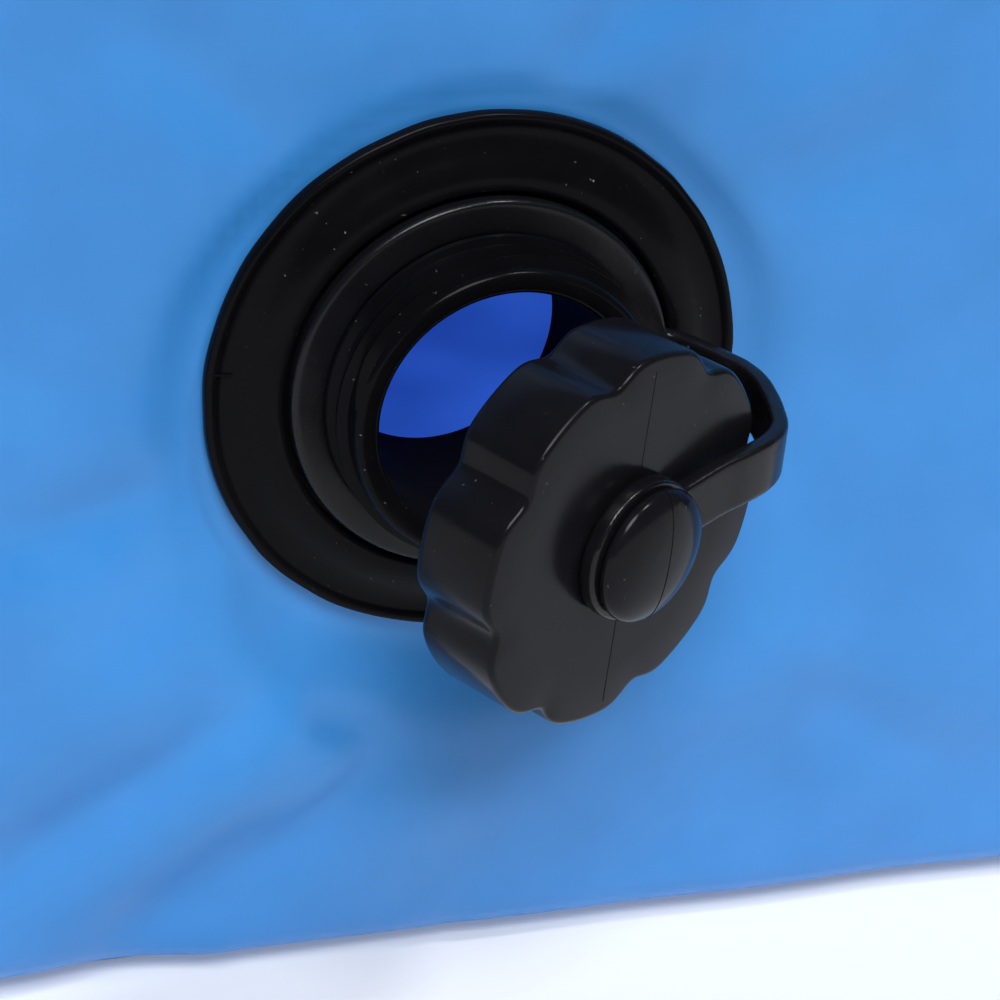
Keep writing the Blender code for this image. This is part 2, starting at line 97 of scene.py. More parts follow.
valve_frame = Matrix.Translation(valve_at) @ Matrix(((1, 0, 0), (0, 0, -1), (0, 1, 0))).to_4x4()
cap_right = Vector((0, 0, 1)).cross(cap_out).normalized()
cap_up = cap_out.cross(cap_right)
cap_frame = Matrix.Translation(cap_at) @ Matrix((cap_right, cap_up, cap_out)).transposed().to_4x4()
print("valve at", tuple(round(v, 4) for v in valve_at), "mat", round(2 * HALF_LONG, 3), "m long")

# %% [markdown]
# ## The camera
#
# The view is close: it stands to the left of the wall and above it, and it is rolled a little, as a hand
# holds it. A long lens keeps the flange's circle an even ellipse. The distance is given in flanges, so
# that it follows the valve's size.

# %% Camera
FLANGE_WIDE = 80 * MM
LEFT_OF_WALL = math.radians(22.3)
ABOVE_WALL = math.radians(26.2)
ROLL = math.radians(6.1)

looking = Vector((math.sin(LEFT_OF_WALL) * math.cos(ABOVE_WALL),
                  math.cos(LEFT_OF_WALL) * math.cos(ABOVE_WALL),
                  -math.sin(ABOVE_WALL)))
level_right = Vector((math.cos(LEFT_OF_WALL), -math.sin(LEFT_OF_WALL), 0))
level_up = level_right.cross(looking)
right = level_right * math.cos(ROLL) + level_up * math.sin(ROLL)
up = level_up * math.cos(ROLL) - level_right * math.sin(ROLL)
aim = valve_at + Vector((0.0814, 0, -0.2643)) * FLANGE_WIDE

camera_data = bpy.data.cameras.new("camera")
camera_data.lens = 112.1
camera_data.clip_start = 0.01
camera = bpy.data.objects.new("camera", camera_data)
bpy.context.scene.collection.objects.link(camera)
camera_turn = Matrix((right, up, -looking)).transposed().to_4x4()
camera.matrix_world = Matrix.Translation(aim - looking * 5.714 * FLANGE_WIDE) @ camera_turn
bpy.context.scene.camera = camera
print("camera", tuple(round(v, 3) for v in camera.location))

# %% [markdown]
# ## Light
#
# A studio tent lights the mat softly from all round, brightest overhead. A world whose strength grows
# with height does that. A sun with a very wide disc stands for the key light, high in front, and a small
# one draws the bright lines on the black edges. Suns reach the mat's far end as evenly as its near end.

# %% Light and world
scene = bpy.context.scene
scene.view_settings.view_transform = "Standard"

world = bpy.data.worlds.new("studio")
scene.world = world
world.use_nodes = True
sky = world.node_tree
background = sky.nodes["Background"]
direction = sky.nodes.new("ShaderNodeTexCoord")
height = sky.nodes.new("ShaderNodeSeparateXYZ")
brightness = sky.nodes.new("ShaderNodeMapRange")
brightness.inputs["From Min"].default_value = -0.1
brightness.inputs["From Max"].default_value = 0.9
brightness.inputs["To Min"].default_value = 0.12
brightness.inputs["To Max"].default_value = 0.25
sky.links.new(direction.outputs["Generated"], height.inputs["Vector"])
sky.links.new(height.outputs["Z"], brightness.inputs["Value"])
sky.links.new(brightness.outputs["Result"], background.inputs["Strength"])


def add_sun(name, travel, strength, wide):
    """A sun whose light travels along a direction; wide is its disc's angle in degrees."""
    data = bpy.data.lights.new(name, "SUN")
    data.energy = strength
    data.angle = math.radians(wide)
    sun = bpy.data.objects.new(name, data)
    sun.rotation_euler = Vector(travel).to_track_quat("-Z", "Y").to_euler()
    scene.collection.objects.link(sun)


add_sun("key_light", (0.18, 0.75, -1.0), 2.5, 28)
add_sun("edge_light", (-0.35, 0.35, -1.0), 0.85, 8)


# %% [markdown]
# ## Finished pieces and plain materials
#
# Every piece ends the same way: its bmesh becomes a mesh with smooth shading, which stays sharp where
# two faces meet at more than a given angle. Every finish starts as a Principled shader with a colour
# and a roughness. The first piece is the floor, a plain white sweep that only belongs to the studio.


# %% Finished pieces and the floor
def mesh_object(name, bm, materials, smooth=32):
    """Turn a bmesh into an object that is smooth except across edges sharper than an angle."""
    mesh = bpy.data.meshes.new(name)
    bm.to_mesh(mesh)
    bm.free()
    mesh.shade_smooth()
    mesh.set_sharp_from_angle(angle=math.radians(smooth))
    for material in materials:
        mesh.materials.append(material)
    thing = bpy.data.objects.new(name, mesh)
    bpy.context.scene.collection.objects.link(thing)
    print(f"{name}: {len(mesh.polygons)} faces")
    return thing


def start_material(name, colour, roughness):
    """A Principled material, its node tree and its shader."""
    material = bpy.data.materials.new(name)
    material.use_nodes = True
    tree = material.node_tree
    shader = tree.nodes["Principled BSDF"]
    shader.inputs["Base Color"].default_value = (*colour, 1)
    shader.inputs["Roughness"].default_value = roughness
    return material, tree, shader


floor_paint, _, floor_shader = start_material("white_sweep", (0.80, 0.80, 0.80), 0.9)
floor_shader.inputs["Specular IOR Level"].default_value = 0.1
floor_shader.inputs["Emission Color"].default_value = (1, 1, 1, 1)
floor_shader.inputs["Emission Strength"].default_value = 0.20
floor_bm = bmesh.new()
bmesh.ops.create_grid(floor_bm, x_segments=1, y_segments=1, size=40)
bmesh.ops.translate(floor_bm, vec=(0, 0, -0.5 * MM), verts=floor_bm.verts)
floor = mesh_object("floor", floor_bm, [floor_paint])

# %% [markdown]
# ## Small tools for materials
#
# Every finish here is procedural. It starts from Object coordinates, which are metres on the mat, so a
# noise scale of 1000 gives grains of about a millimetre. Three helpers cover most of it: a noise, a
# change of range, and a bump. Mixing two close colours by a large noise is what keeps a plain surface
# from looking like paint in a computer.


# %% Material helpers
def object_place(tree):
    return tree.nodes.new("ShaderNodeTexCoord").outputs["Object"]


def noise_of(tree, place, scale, detail=3.0):
    texture = tree.nodes.new("ShaderNodeTexNoise")
    texture.inputs["Scale"].default_value = scale
    texture.inputs["Detail"].default_value = detail
    tree.links.new(place, texture.inputs["Vector"])
    return texture.outputs["Fac"]


def to_range(tree, value, low, high, start=0.3, stop=0.7):
    """Carry values between start and stop over to low and high."""
    node = tree.nodes.new("ShaderNodeMapRange")
    node.inputs["From Min"].default_value = start
    node.inputs["From Max"].default_value = stop
    node.inputs["To Min"].default_value = low
    node.inputs["To Max"].default_value = high
    tree.links.new(value, node.inputs["Value"])
    return node.outputs["Result"]


def mixed(tree, share, first, second):
    """Mix two colours; each is either three numbers or another node's output."""
    node = tree.nodes.new("ShaderNodeMix")
    node.data_type = "RGBA"
    tree.links.new(share, node.inputs["Factor"])
    for socket, colour in ((node.inputs["A"], first), (node.inputs["B"], second)):
        if isinstance(colour, tuple):
            socket.default_value = (*colour, 1)
        else:
            tree.links.new(colour, socket)
    return node.outputs["Result"]


def computed(tree, operation, first, second=0.0):
    """One Math node; second may be a number or an output."""
    node = tree.nodes.new("ShaderNodeMath")
    node.operation = operation
    for socket, value in ((node.inputs[0], first), (node.inputs[1], second)):
        if isinstance(value, (int, float)):
            socket.default_value = value
        else:
            tree.links.new(value, socket)
    return node.outputs["Value"]


def bump(tree, shader, height_value, distance, strength=1.0, under=None):
    node = tree.nodes.new("ShaderNodeBump")
    node.inputs["Distance"].default_value = distance
    node.inputs["Strength"].default_value = strength
    tree.links.new(height_value, node.inputs["Height"])
    if under is not None:
        tree.links.new(under, node.inputs["Normal"])
    tree.links.new(node.outputs["Normal"], shader.inputs["Normal"])
    return node.outputs["Normal"]


# %% [markdown]
# ## Coated fabric
#
# The skin is polyester cloth with a thick layer of soft PVC on it. It is smooth and satin, never shiny,
# with a faint trace of the threads under the coating and slow drifts of colour where it was rolled.
# One function makes the whole family: skin, seam tape, welded patches and the deck, whose drop threads
# pull a fine pattern of dimples. Only the blue, the gloss and the pattern change.


# %% Coated fabric
def coated_fabric(name, pale, deep, roughness, thread=0.05, dimples=0.0):
    material, tree, shader = start_material(name, pale, roughness)
    place = object_place(tree)
    drift = to_range(tree, noise_of(tree, place, 5.0, 2.0), 0.0, 1.0, 0.25, 0.75)
    cloudy = to_range(tree, noise_of(tree, place, 46.0, 4.0), 0.0, 0.55)
    base = mixed(tree, drift, pale, deep)
    worn = tuple(min(1.0, c * 1.16 + 0.006) for c in pale)
    tree.links.new(mixed(tree, cloudy, base, worn), shader.inputs["Base Color"])
    handled = to_range(tree, noise_of(tree, place, 110.0, 5.0), roughness - 0.05, roughness + 0.07)
    tree.links.new(handled, shader.inputs["Roughness"])
    split = tree.nodes.new("ShaderNodeSeparateXYZ")
    tree.links.new(place, split.inputs["Vector"])
    waves = [computed(tree, "SINE", computed(tree, "MULTIPLY", split.outputs[axis], 2 * math.pi / 0.0011))
             for axis in "XYZ"]
    woven = computed(tree, "ADD", computed(tree, "ADD", waves[0], waves[1]), waves[2])
    grain = noise_of(tree, place, 1500.0, 2.0)
    surface = bump(tree, shader, woven, 0.012 * MM, thread)
    surface = bump(tree, shader, grain, 0.05 * MM, 0.22, surface)
    if dimples:
        rows = [computed(tree, "SINE", computed(tree, "MULTIPLY", split.outputs[axis], math.pi / 0.0085))
                for axis in "XY"]
        egg_box = computed(tree, "MULTIPLY", rows[0], rows[1])
        bump(tree, shader, egg_box, 0.25 * MM, dimples, surface)
    return material


skin = coated_fabric("skin_fabric", (0.037, 0.250, 0.660), (0.031, 0.218, 0.610), 0.40)
seam = coated_fabric("seam_fabric", (0.033, 0.200, 0.560), (0.028, 0.178, 0.510), 0.36, 0.35)
patch_cloth = coated_fabric("patch_fabric", (0.038, 0.224, 0.600), (0.033, 0.200, 0.550), 0.34, 0.2)
deck_cloth = coated_fabric("deck_fabric", (0.037, 0.250, 0.660), (0.031, 0.218, 0.610), 0.44, 0.3, 0.5)
print("coated fabrics:", skin.name, seam.name, patch_cloth.name, deck_cloth.name)

# %% [markdown]
# ## The fabric's inner side
#
# Seen through the open valve the inside glows a deeper blue, because the fabric lets some of the
# studio's light through. That light is painted: a little emission, which no lamp casts, drifts slowly
# with the base colour to paint the shade of soft folds. The same painted glow serves the base cloths
# that hold the drop threads, and the threads.


# %% Inner side, a painted glow
def painted_glow_finish(name, colour, glow):
    material, tree, shader = start_material(name, colour, 0.6)
    place = object_place(tree)
    drift = noise_of(tree, place, 24.0, 1.0)
    tree.links.new(mixed(tree, to_range(tree, drift, 0, 1), colour, tuple(c * 1.25 for c in colour)),
                   shader.inputs["Base Color"])
    # Painted glow: the emission stands in for studio light let through the fabric, and its drift, like the
    # drifting base colour above, paints the shade of soft folds.
    shader.inputs["Emission Color"].default_value = (*colour, 1)
    tree.links.new(to_range(tree, drift, glow * 0.65, glow * 1.35), shader.inputs["Emission Strength"])
    bump(tree, shader, noise_of(tree, place, 900.0, 3.0), 0.05 * MM, 0.5)
    return material


inner_painted_glow = painted_glow_finish("inner_fabric_painted_glow", (0.040, 0.150, 0.540), 0.34)
painted_glow_base_cloth = painted_glow_finish("core_cloth_painted_glow", (0.042, 0.155, 0.540), 0.34)
painted_glow_yarn = painted_glow_finish("drop_thread_painted_glow", (0.08, 0.20, 0.56), 0.2)

# %% [markdown]
# ## Black mouldings
#
# The valve and cap are injection moulded in black polyethylene. It is never quite black: its skin is
# satin with slow waves from cooling, a fine texture from the mould, pale dust in small specks, and
# patches that handling has polished. The valve's moulding reflects little, least of all in its bore,
# and the cap most. The tether is a softer plastic, and the gasket is rubber.


# %% Black mouldings
def moulded_black(name, tone, roughness, specks, ripple, gloss):
    colour = (tone, tone, tone * 1.3)
    material, tree, shader = start_material(name, colour, roughness)
    shader.inputs["Specular IOR Level"].default_value = gloss
    place = object_place(tree)
    mottled = mixed(tree, noise_of(tree, place, 160.0, 4.0), colour, tuple(c * 1.9 for c in colour))
    dust = noise_of(tree, place, 1300.0, 2.0)
    where = noise_of(tree, place, 90.0, 3.0)
    speck = computed(tree, "MULTIPLY", to_range(tree, dust, 0.0, 1.0, 0.73, 0.77),
                     to_range(tree, where, 0.0, specks, 0.42, 0.68))
    tree.links.new(mixed(tree, speck, mottled, (0.30, 0.31, 0.32)), shader.inputs["Base Color"])
    polish = noise_of(tree, place, 75.0, 5.0)
    tree.links.new(to_range(tree, polish, roughness - 0.07, roughness + 0.09), shader.inputs["Roughness"])
    surface = bump(tree, shader, noise_of(tree, place, 70.0, 1.0), ripple * MM, 0.5)
    surface = bump(tree, shader, noise_of(tree, place, 2400.0, 2.0), 0.02 * MM, 0.35, surface)
    return material


valve_plastic = moulded_black("matt_black_plastic", 0.0026, 0.21, 0.7, 0.2, 0.06)
cap_plastic = moulded_black("satin_black_plastic", 0.0050, 0.19, 0.3, 0.10, 0.11)
soft_plastic = moulded_black("soft_black_plastic", 0.0045, 0.24, 0.4, 0.12, 0.24)
bore_plastic = moulded_black("dull_black_plastic", 0.0025, 0.78, 0.2, 0.1, 0.04)
rubber = moulded_black("sealing_rubber", 0.010, 0.62, 0.3, 0.1, 0.3)
print("black mouldings:", valve_plastic.name, cap_plastic.name, soft_plastic.name, rubber.name)

# %% [markdown]
# ## Webbing and thread
#
# The handles are polypropylene webbing. Its herringbone comes from a rule: the height follows a sine
# along the strap, and the sine's start is pushed back and forth across the strap by a triangle wave.
# The pattern reads a UV map in metres, which each strap carries, so the weave follows every bend.
# The colour follows the weave's height too: painted shade in the grooves and painted highlights on the
# ribs.


# %% Webbing and thread
def webbing_finish(name, tone):
    material, tree, shader = start_material(name, (tone, tone, tone * 1.1), 0.72)
    uv = tree.nodes.new("ShaderNodeUVMap")
    uv.uv_map = "strap"
    split = tree.nodes.new("ShaderNodeSeparateXYZ")
    tree.links.new(uv.outputs["UV"], split.inputs["Vector"])
    zigzag = computed(tree, "PINGPONG", split.outputs["Y"], 0.0019)
    lean = computed(tree, "ADD", split.outputs["X"], zigzag)
    ribs = computed(tree, "SINE", computed(tree, "MULTIPLY", lean, 2 * math.pi / 0.0013))
    rows = computed(tree, "SINE", computed(tree, "MULTIPLY", split.outputs["Y"], 2 * math.pi / 0.0019))
    weave = computed(tree, "ADD", ribs, computed(tree, "MULTIPLY", rows, 0.6))
    fuzz = noise_of(tree, object_place(tree), 2600.0, 2.0)
    # Painted shade and highlight: the colour is dark in the weave's grooves and light on its ribs.
    weave_painted_light = mixed(tree, to_range(tree, weave, 0.0, 1.0, -1.2, 1.4), (tone * 0.5,) * 3,
                (tone * 2.2, tone * 2.2, tone * 2.4))
    tree.links.new(mixed(tree, to_range(tree, fuzz, 0, 0.5), weave_painted_light, (tone * 3.2,) * 3),
                   shader.inputs["Base Color"])
    shader.inputs["Sheen Weight"].default_value = 0.12
    shader.inputs["Sheen Roughness"].default_value = 0.4
    surface = bump(tree, shader, weave, 0.16 * MM, 0.8)
    bump(tree, shader, fuzz, 0.05 * MM, 0.5, surface)
    return material


webbing = webbing_finish("woven_webbing", 0.013)
thread, thread_tree, thread_shader = start_material("sewing_thread", (0.035, 0.035, 0.038), 0.5)
twist = noise_of(thread_tree, object_place(thread_tree), 3000.0, 1.0)
bump(thread_tree, thread_shader, twist, 0.05 * MM, 0.6)

# %% [markdown]
# ## Small tools for modelling
#
# Two ways of shaping cover most of this mat. A turned piece is an outline spun round an axis. A wall
# piece is a section, drawn once, that is dragged along the mat's outline: straight runs by extruding
# and moving, corners by spinning. The section's points are given as inset from the wall and height.


# %% Modelling helpers
def placed(bm, matrix):
    """Carry a bmesh drawn in millimetres into the row frame."""
    bmesh.ops.scale(bm, vec=(MM, MM, MM), verts=bm.verts)
    bmesh.ops.transform(bm, matrix=matrix, verts=bm.verts)
    return bm


def chain(bm, points, closed=False):
    """Vertices joined one after another by edges."""
    verts = [bm.verts.new(point) for point in points]
    edges = [bm.edges.new(pair) for pair in zip(verts, verts[1:])]
    if closed:
        edges.append(bm.edges.new((verts[-1], verts[0])))
    return edges


def arc(middle, radius, start, stop, steps):
    """(across, height) points of an arc between two angles in degrees."""
    angles = [math.radians(start + (stop - start) * k / steps) for k in range(steps + 1)]
    return [(middle[0] + radius * math.cos(a), middle[1] + radius * math.sin(a)) for a in angles]


def turned(outline, steps=144, soften=0.0, sharper_than=24):
    """Spin a closed (radius, height) outline round Z, then round its sharp rims."""
    bm = bmesh.new()
    edges = chain(bm, [(r, 0, z) for r, z in outline], closed=True)
    bmesh.ops.spin(bm, geom=bm.verts[:] + edges, cent=(0, 0, 0), axis=(0, 0, 1), dvec=(0, 0, 0),
                   angle=2 * math.pi, steps=steps, use_merge=True)
    bmesh.ops.recalc_face_normals(bm, faces=bm.faces)
    if soften:
        rims = [e for e in bm.edges if e.is_manifold and e.calc_face_angle() > math.radians(sharper_than)]
        bmesh.ops.bevel(bm, geom=rims, offset=soften, offset_type="OFFSET", affect="EDGES", segments=3,
                        profile=0.5, material=-1, clamp_overlap=True)
    return bm


def rides(thing, body, slot, *nodes):
    """Fasten a finished piece to its body and hide the nodes that it stands for; slot is not used."""
    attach(thing, body)
    if nodes:
        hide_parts(*nodes)
    return thing


def new_edges(made):
    return [item for item in made if isinstance(item, bmesh.types.BMEdge)]


def new_verts(made):
    return [item for item in made if isinstance(item, bmesh.types.BMVert)]


def run_straight(bm, edges, stops):
    """Drag an open section by extruding it to each of a list of moves."""
    before = Vector((0, 0, 0))
    for stop in stops:
        made = bmesh.ops.extrude_edge_only(bm, edges=edges)["geom"]
        edges = [e for e in new_edges(made) if all(v in new_verts(made) for v in e.verts)]
        bmesh.ops.translate(bm, vec=stop - before, verts=new_verts(made))
        before = stop
    return edges


def run_corner(bm, edges, middle, steps=14):
    """Take a section round one corner of the mat, a quarter turn to the left."""
    verts = list({v for e in edges for v in e.verts})
    made = bmesh.ops.spin(bm, geom=verts + edges, cent=middle, axis=(0, 0, 1), dvec=(0, 0, 0),
                          angle=math.pi / 2, steps=steps)
    return new_edges(made["geom_last"])


def evenly(vector, steps):
    return [vector * (k + 1) / steps for k in range(steps)]


def ease(value, low, high):
    """A smooth step from 0 at low to 1 at high."""
    share = min(1.0, max(0.0, (value - low) / (high - low)))
    return share * share * (3 - 2 * share)


# %% [markdown]
# ## The section of a wall band
#
# A band is one strip of fabric: it lies on the bottom panel, turns up round a fold, makes the wall,
# turns in round a second fold and lies on the top panel. Its laps are flat because they are welded.


# %% Band section
def band_section(wall_steps):
    """(inset, height) points of a band's outer face, from the lower lap to the upper one."""
    low = BAND_FLOOR + FOLD_R
    high = TOP - FOLD_R
    wall = [(0.0, low + (high - low) * k / wall_steps) for k in range(1, wall_steps)]
    lower = arc((FOLD_R, low), FOLD_R, 270, 180, 8)
    upper = arc((FOLD_R, high), FOLD_R, 180, 90, 8)
    laps = [LAP, LAP * 0.8, LAP * 0.55]
    return ([(inset, BAND_FLOOR) for inset in laps] + lower + wall + upper
            + [(inset, TOP) for inset in reversed(laps)])


def quiet_zone(along, height_z, middles, half_long=170 * MM, half_tall=46 * MM):
    """0 where a patch or strip is welded to the wall, 1 well away from it."""
    calm = 1.0
    for middle in middles:
        beside = ease(abs(along - middle), half_long, half_long + 40 * MM)
        over = ease(abs(height_z - TOP / 2), half_tall, half_tall + 12 * MM)
        calm = min(calm, max(beside, over))
    return calm


def finish_band(name, bm, slot_node):
    """Give a band its thickness inwards, with the inner side's painted glow."""
    bmesh.ops.remove_doubles(bm, verts=bm.verts, dist=0.02 * MM)
    bmesh.ops.recalc_face_normals(bm, faces=bm.faces)
    middle = Vector((0, 0, TOP / 2))
    lead = max(bm.faces, key=lambda f: (f.calc_center_median() - middle).length_squared)
    if lead.normal.dot(lead.calc_center_median() - middle) < 0:
        bmesh.ops.reverse_faces(bm, faces=bm.faces)
    band = mesh_object(name, bm, [skin, inner_painted_glow], 50)
    solid = band.modifiers.new("thickness", "SOLIDIFY")
    solid.thickness = SKIN
    solid.offset = -1
    solid.material_offset = 1
    return rides(band, "root", "blue_coated_fabric", slot_node)


# %% [markdown]
# ## How the skin creases round the valve
#
# The flange clamps the skin flat, and beyond it the slack fabric rises in a soft collar, low over the
# valve and wide under it, and runs off in creases. Each crease is a line on the wall, given in
# millimetres right of the valve and above it, with a width and a height, which is negative for a valley.
# A cloth simulation would make creases too, but not these ones, so they are listed one by one.

# %% Creases of the front wall
CREASES = [
    ((-26, -46), (-88, -92), 5.0, -2.0),
    ((-36, -34), (-98, -80), 9.0, 2.2),
    ((-22, -50), (-72, -100), 8.0, 2.8),
    ((-18, -66), (-66, -112), 7.0, -2.0),
    ((-7, -57), (-31, -86), 4.2, -2.6),
    ((-24, -51), (-5, -59), 3.2, -1.9),
    ((2, -62), (-14, -97), 9.0, 1.6),
    ((20, -60), (60, -74), 11.0, -1.2),
    ((6, -88), (7, -100), 2.6, -0.7),
    ((-32, -88), (-34, -101), 4.0, 0.9),
    ((-43, -13), (-78, -25), 4.5, -1.3),
    ((-44, -5), (-84, -8), 8.0, 1.1),
    ((-46, -24), (-90, -44), 9.0, 1.2),
    ((-30, 34), (-62, 62), 6.0, -1.3),
    ((-20, 42), (-44, 72), 8.0, 1.0),
    ((7, 43), (26, 64), 4.5, -1.2),
    ((16, 42), (40, 60), 7.0, 0.9),
    ((38, 27), (84, 38), 8.0, -0.9),
    ((36, 34), (72, 54), 8.0, 1.1),
    ((54, -52), (110, -90), 6.0, -1.5),
    ((46, -44), (108, -74), 11.0, 1.3),
    ((50, -10), (96, -22), 14.0, 0.7),
]
COLLAR = 3.2


def crease_height(right_mm, up_mm, crease):
    (x0, z0), (x1, z1), wide, high = crease
    along = Vector((x1 - x0, z1 - z0))
    here = Vector((right_mm - x0, up_mm - z0))
    share = min(1.0, max(0.0, here.dot(along) / along.length_squared))
    away = (here - along * share).length
    spread = wide * (0.75 + 0.6 * share)
    taper = ease(share, -0.05, 0.25) * (1 - ease(share, 0.45, 1.0))
    return high * taper * math.exp(-(away / spread) ** 2)


def valve_relief(right_mm, up_mm):
    """How far the skin stands proud, in millimetres, at a place right of and above the valve."""
    away = math.hypot(right_mm, up_mm)
    lowness = -up_mm / max(away, 1.0)
    crest = 50 + 8 * lowness + 1.5 * math.sin(5 * math.atan2(up_mm, right_mm))
    collar = COLLAR * (0.75 + 0.35 * lowness) * ease(away, 40.6, crest) * (1 - ease(away, crest, crest + 42))
    total = collar + sum(crease_height(right_mm, up_mm, crease) for crease in CREASES)
    slack = noise.noise(Vector((right_mm, up_mm, 0)) / 34.0) * 1.1
    return (total + slack * ease(away, 44, 80)) * ease(away, 40.6, 46)


# %% [markdown]
# ## The front band
#
# The section is dragged from the left side round the corner, along the front in fine steps near the
# valve and longer ones away from it, round the second corner and back along the right side. Then the
# hole for the neck is cut and its edge drawn to a circle. The lower fold is pressed tighter than the
# upper one, because the mat rests on it, and the wall bellies out above it except under the handle.
# Last, every point of the wall moves outwards by the relief above.

# %% Front band
FINE = 2.2 * MM
COARSE = 9 * MM
HOLE_R = 27 * MM


def stops_along_front():
    """Where the front wall's columns stand, as moves from its left corner."""
    start = -(HALF_WIDE - CORNER_R)
    fine_until = valve_at.x + 118 * MM
    fine = int((fine_until - start) / FINE)
    coarse = int((HALF_WIDE - CORNER_R - fine_until) / COARSE)
    places = [start + (fine_until - start) * (k + 1) / fine for k in range(fine)]
    places += [fine_until + (HALF_WIDE - CORNER_R - fine_until) * (k + 1) / coarse for k in range(coarse)]
    return [Vector((place - start, 0, 0)) for place in places]


def dragged_end(section, front_stops):
    """A band round one end of the mat, drawn at the front."""
    bm = bmesh.new()
    corner_x = HALF_WIDE - CORNER_R
    corner_y = HALF_LONG - CORNER_R
    side_run = corner_y - BAND_END
    edges = chain(bm, [(-HALF_WIDE + inset, -BAND_END, z) for inset, z in section])
    edges = run_straight(bm, edges, evenly(Vector((0, -side_run, 0)), 2))
    edges = run_corner(bm, edges, (-corner_x, -corner_y, 0))
    edges = run_straight(bm, edges, front_stops)
    edges = run_corner(bm, edges, (corner_x, -corner_y, 0))
    run_straight(bm, edges, evenly(Vector((0, side_run, 0)), 2))
    return bm


FOLD_TIGHT_R = 6 * MM
BELLY = 4 * MM
BELLY_TALL = 104 * MM
HANDLE_ENDS = 165 * MM


def tight_fold(across, down):
    """Where the ray to a point of the round fold meets a fold with a smaller radius."""
    side, drop = across / FOLD_R, down / FOLD_R
    flat = FOLD_R - FOLD_TIGHT_R
    if FOLD_R * drop <= flat * side:
        return FOLD_R, FOLD_R * drop / side
    if FOLD_R * side <= flat * drop:
        return FOLD_R * side / drop, FOLD_R
    half = flat * (side + drop)
    reach = half + math.sqrt(half * half - 2 * flat * flat + FOLD_TIGHT_R ** 2)
    return reach * side, reach * drop


front_bm = dragged_end(band_section(78), stops_along_front())
in_hole = [f for f in front_bm.faces
           if f.calc_center_median().y < -HALF_LONG + MM
           and (f.calc_center_median() - valve_at).length < HOLE_R - 1.2 * MM]
bmesh.ops.delete(front_bm, geom=in_hole, context="FACES")
for vert in front_bm.verts:
    spoke = vert.co - valve_at
    if vert.is_boundary and spoke.length < HOLE_R + 6 * MM:
        vert.co = valve_at + spoke.normalized() * HOLE_R
for vert in front_bm.verts:
    if abs(vert.co.x) < HALF_WIDE - CORNER_R:
        from_corner = HALF_WIDE - CORNER_R - abs(vert.co.x)
        inset = vert.co.y + HALF_LONG
        across, down = FOLD_R - inset, BAND_FLOOR + FOLD_R - vert.co.z
        if across > 0 and down > 0:
            new_across, new_down = tight_fold(across, down)
            tight = ease(from_corner, 0, 50 * MM)
            vert.co.y -= (new_across - across) * tight
            vert.co.z -= (new_down - down) * tight
        inset = vert.co.y + HALF_LONG
        reach = 1 - ease(inset, 0, FOLD_R)
        calm = quiet_zone(vert.co.x, vert.co.z, [0.0]) * ease(from_corner, 0, 12 * MM)
        rise = valve_relief((vert.co.x - valve_at.x) / MM, (vert.co.z - valve_at.z) / MM)
        away = (Vector((vert.co.x, 0, vert.co.z)) - Vector((valve_at.x, 0, valve_at.z))).length
        belly = BELLY * math.sin(math.pi * min(1.0, vert.co.z / BELLY_TALL)) ** 2
        belly *= ease(from_corner, 0, 60 * MM) * ease(away, 41 * MM, 74 * MM)
        belly *= ease(abs(vert.co.x), HANDLE_ENDS, HANDLE_ENDS + 60 * MM)
        vert.co.y -= (rise * MM * calm + belly) * reach
front_band = finish_band("front_wall_band", front_bm, "end_band_front")

# %% [markdown]
# ## The other bands
#
# The rear band is the same drawing turned half round, without a hole. The side bands are straight.
# Both get only a slow waviness, because the air holds them taut, and none where something is welded on.


# %% Rear and side bands
def wavy(place, outward, calm):
    """Push a wall point in or out by a slow noise that is longer than it is tall."""
    stretched = Vector((place.x * 9, place.y * 9, place.z * 26))
    push = noise.noise(stretched) * 0.9 + noise.noise(stretched * 2.7) * 0.35
    return place + outward * push * MM * calm


rear_bm = dragged_end(band_section(26), evenly(Vector((2 * (HALF_WIDE - CORNER_R), 0, 0)), 84))
for vert in rear_bm.verts:
    if abs(vert.co.x) < HALF_WIDE - CORNER_R:
        reach = 1 - ease(vert.co.y + HALF_LONG, 0, FOLD_R)
        vert.co = wavy(vert.co, Vector((0, -1, 0)), reach * quiet_zone(vert.co.x, vert.co.z, [0.0]))
bmesh.ops.rotate(rear_bm, cent=(0, 0, 0), matrix=Matrix.Rotation(math.pi, 3, "Z"), verts=rear_bm.verts)
finish_band("rear_wall_band", rear_bm, "end_band_rear")

HANDLE_Y = Vector(joints["handle_right_rear_lift"]["pos_m"]).y
for side, tag in ((-1, "left"), (1, "right")):
    side_bm = bmesh.new()
    reach_y = BAND_END - GAP
    first = chain(side_bm, [(side * (HALF_WIDE - inset), -reach_y, z) for inset, z in band_section(26)])
    run_straight(side_bm, first, evenly(Vector((0, 2 * reach_y, 0)), 200))
    for vert in side_bm.verts:
        out_of_fold = 1 - ease(HALF_WIDE - abs(vert.co.x), 0, FOLD_R)
        calm = out_of_fold * quiet_zone(vert.co.y, vert.co.z, [-HANDLE_Y, HANDLE_Y])
        calm *= 1 - ease(abs(vert.co.y), BAND_END - 80 * MM, BAND_END - 40 * MM)
        vert.co = wavy(vert.co, Vector((side, 0, 0)), calm)
    finish_band(f"{tag}_wall_band", side_bm, f"side_band_{tag}")

# %% [markdown]
# ## Lap strips and seam tape
#
# Where two bands meet, a strip is welded over the joint, up the wall and over the fold. A tape covers
# the edge of the laps all round the deck. It is pressed down over the step by a roller, so its section
# goes down in a soft slope. Both are sections again, dragged along.

# %% Lap strips and tapes
STRIP_HALF = 30 * MM
TAPE_HALF = 20 * MM


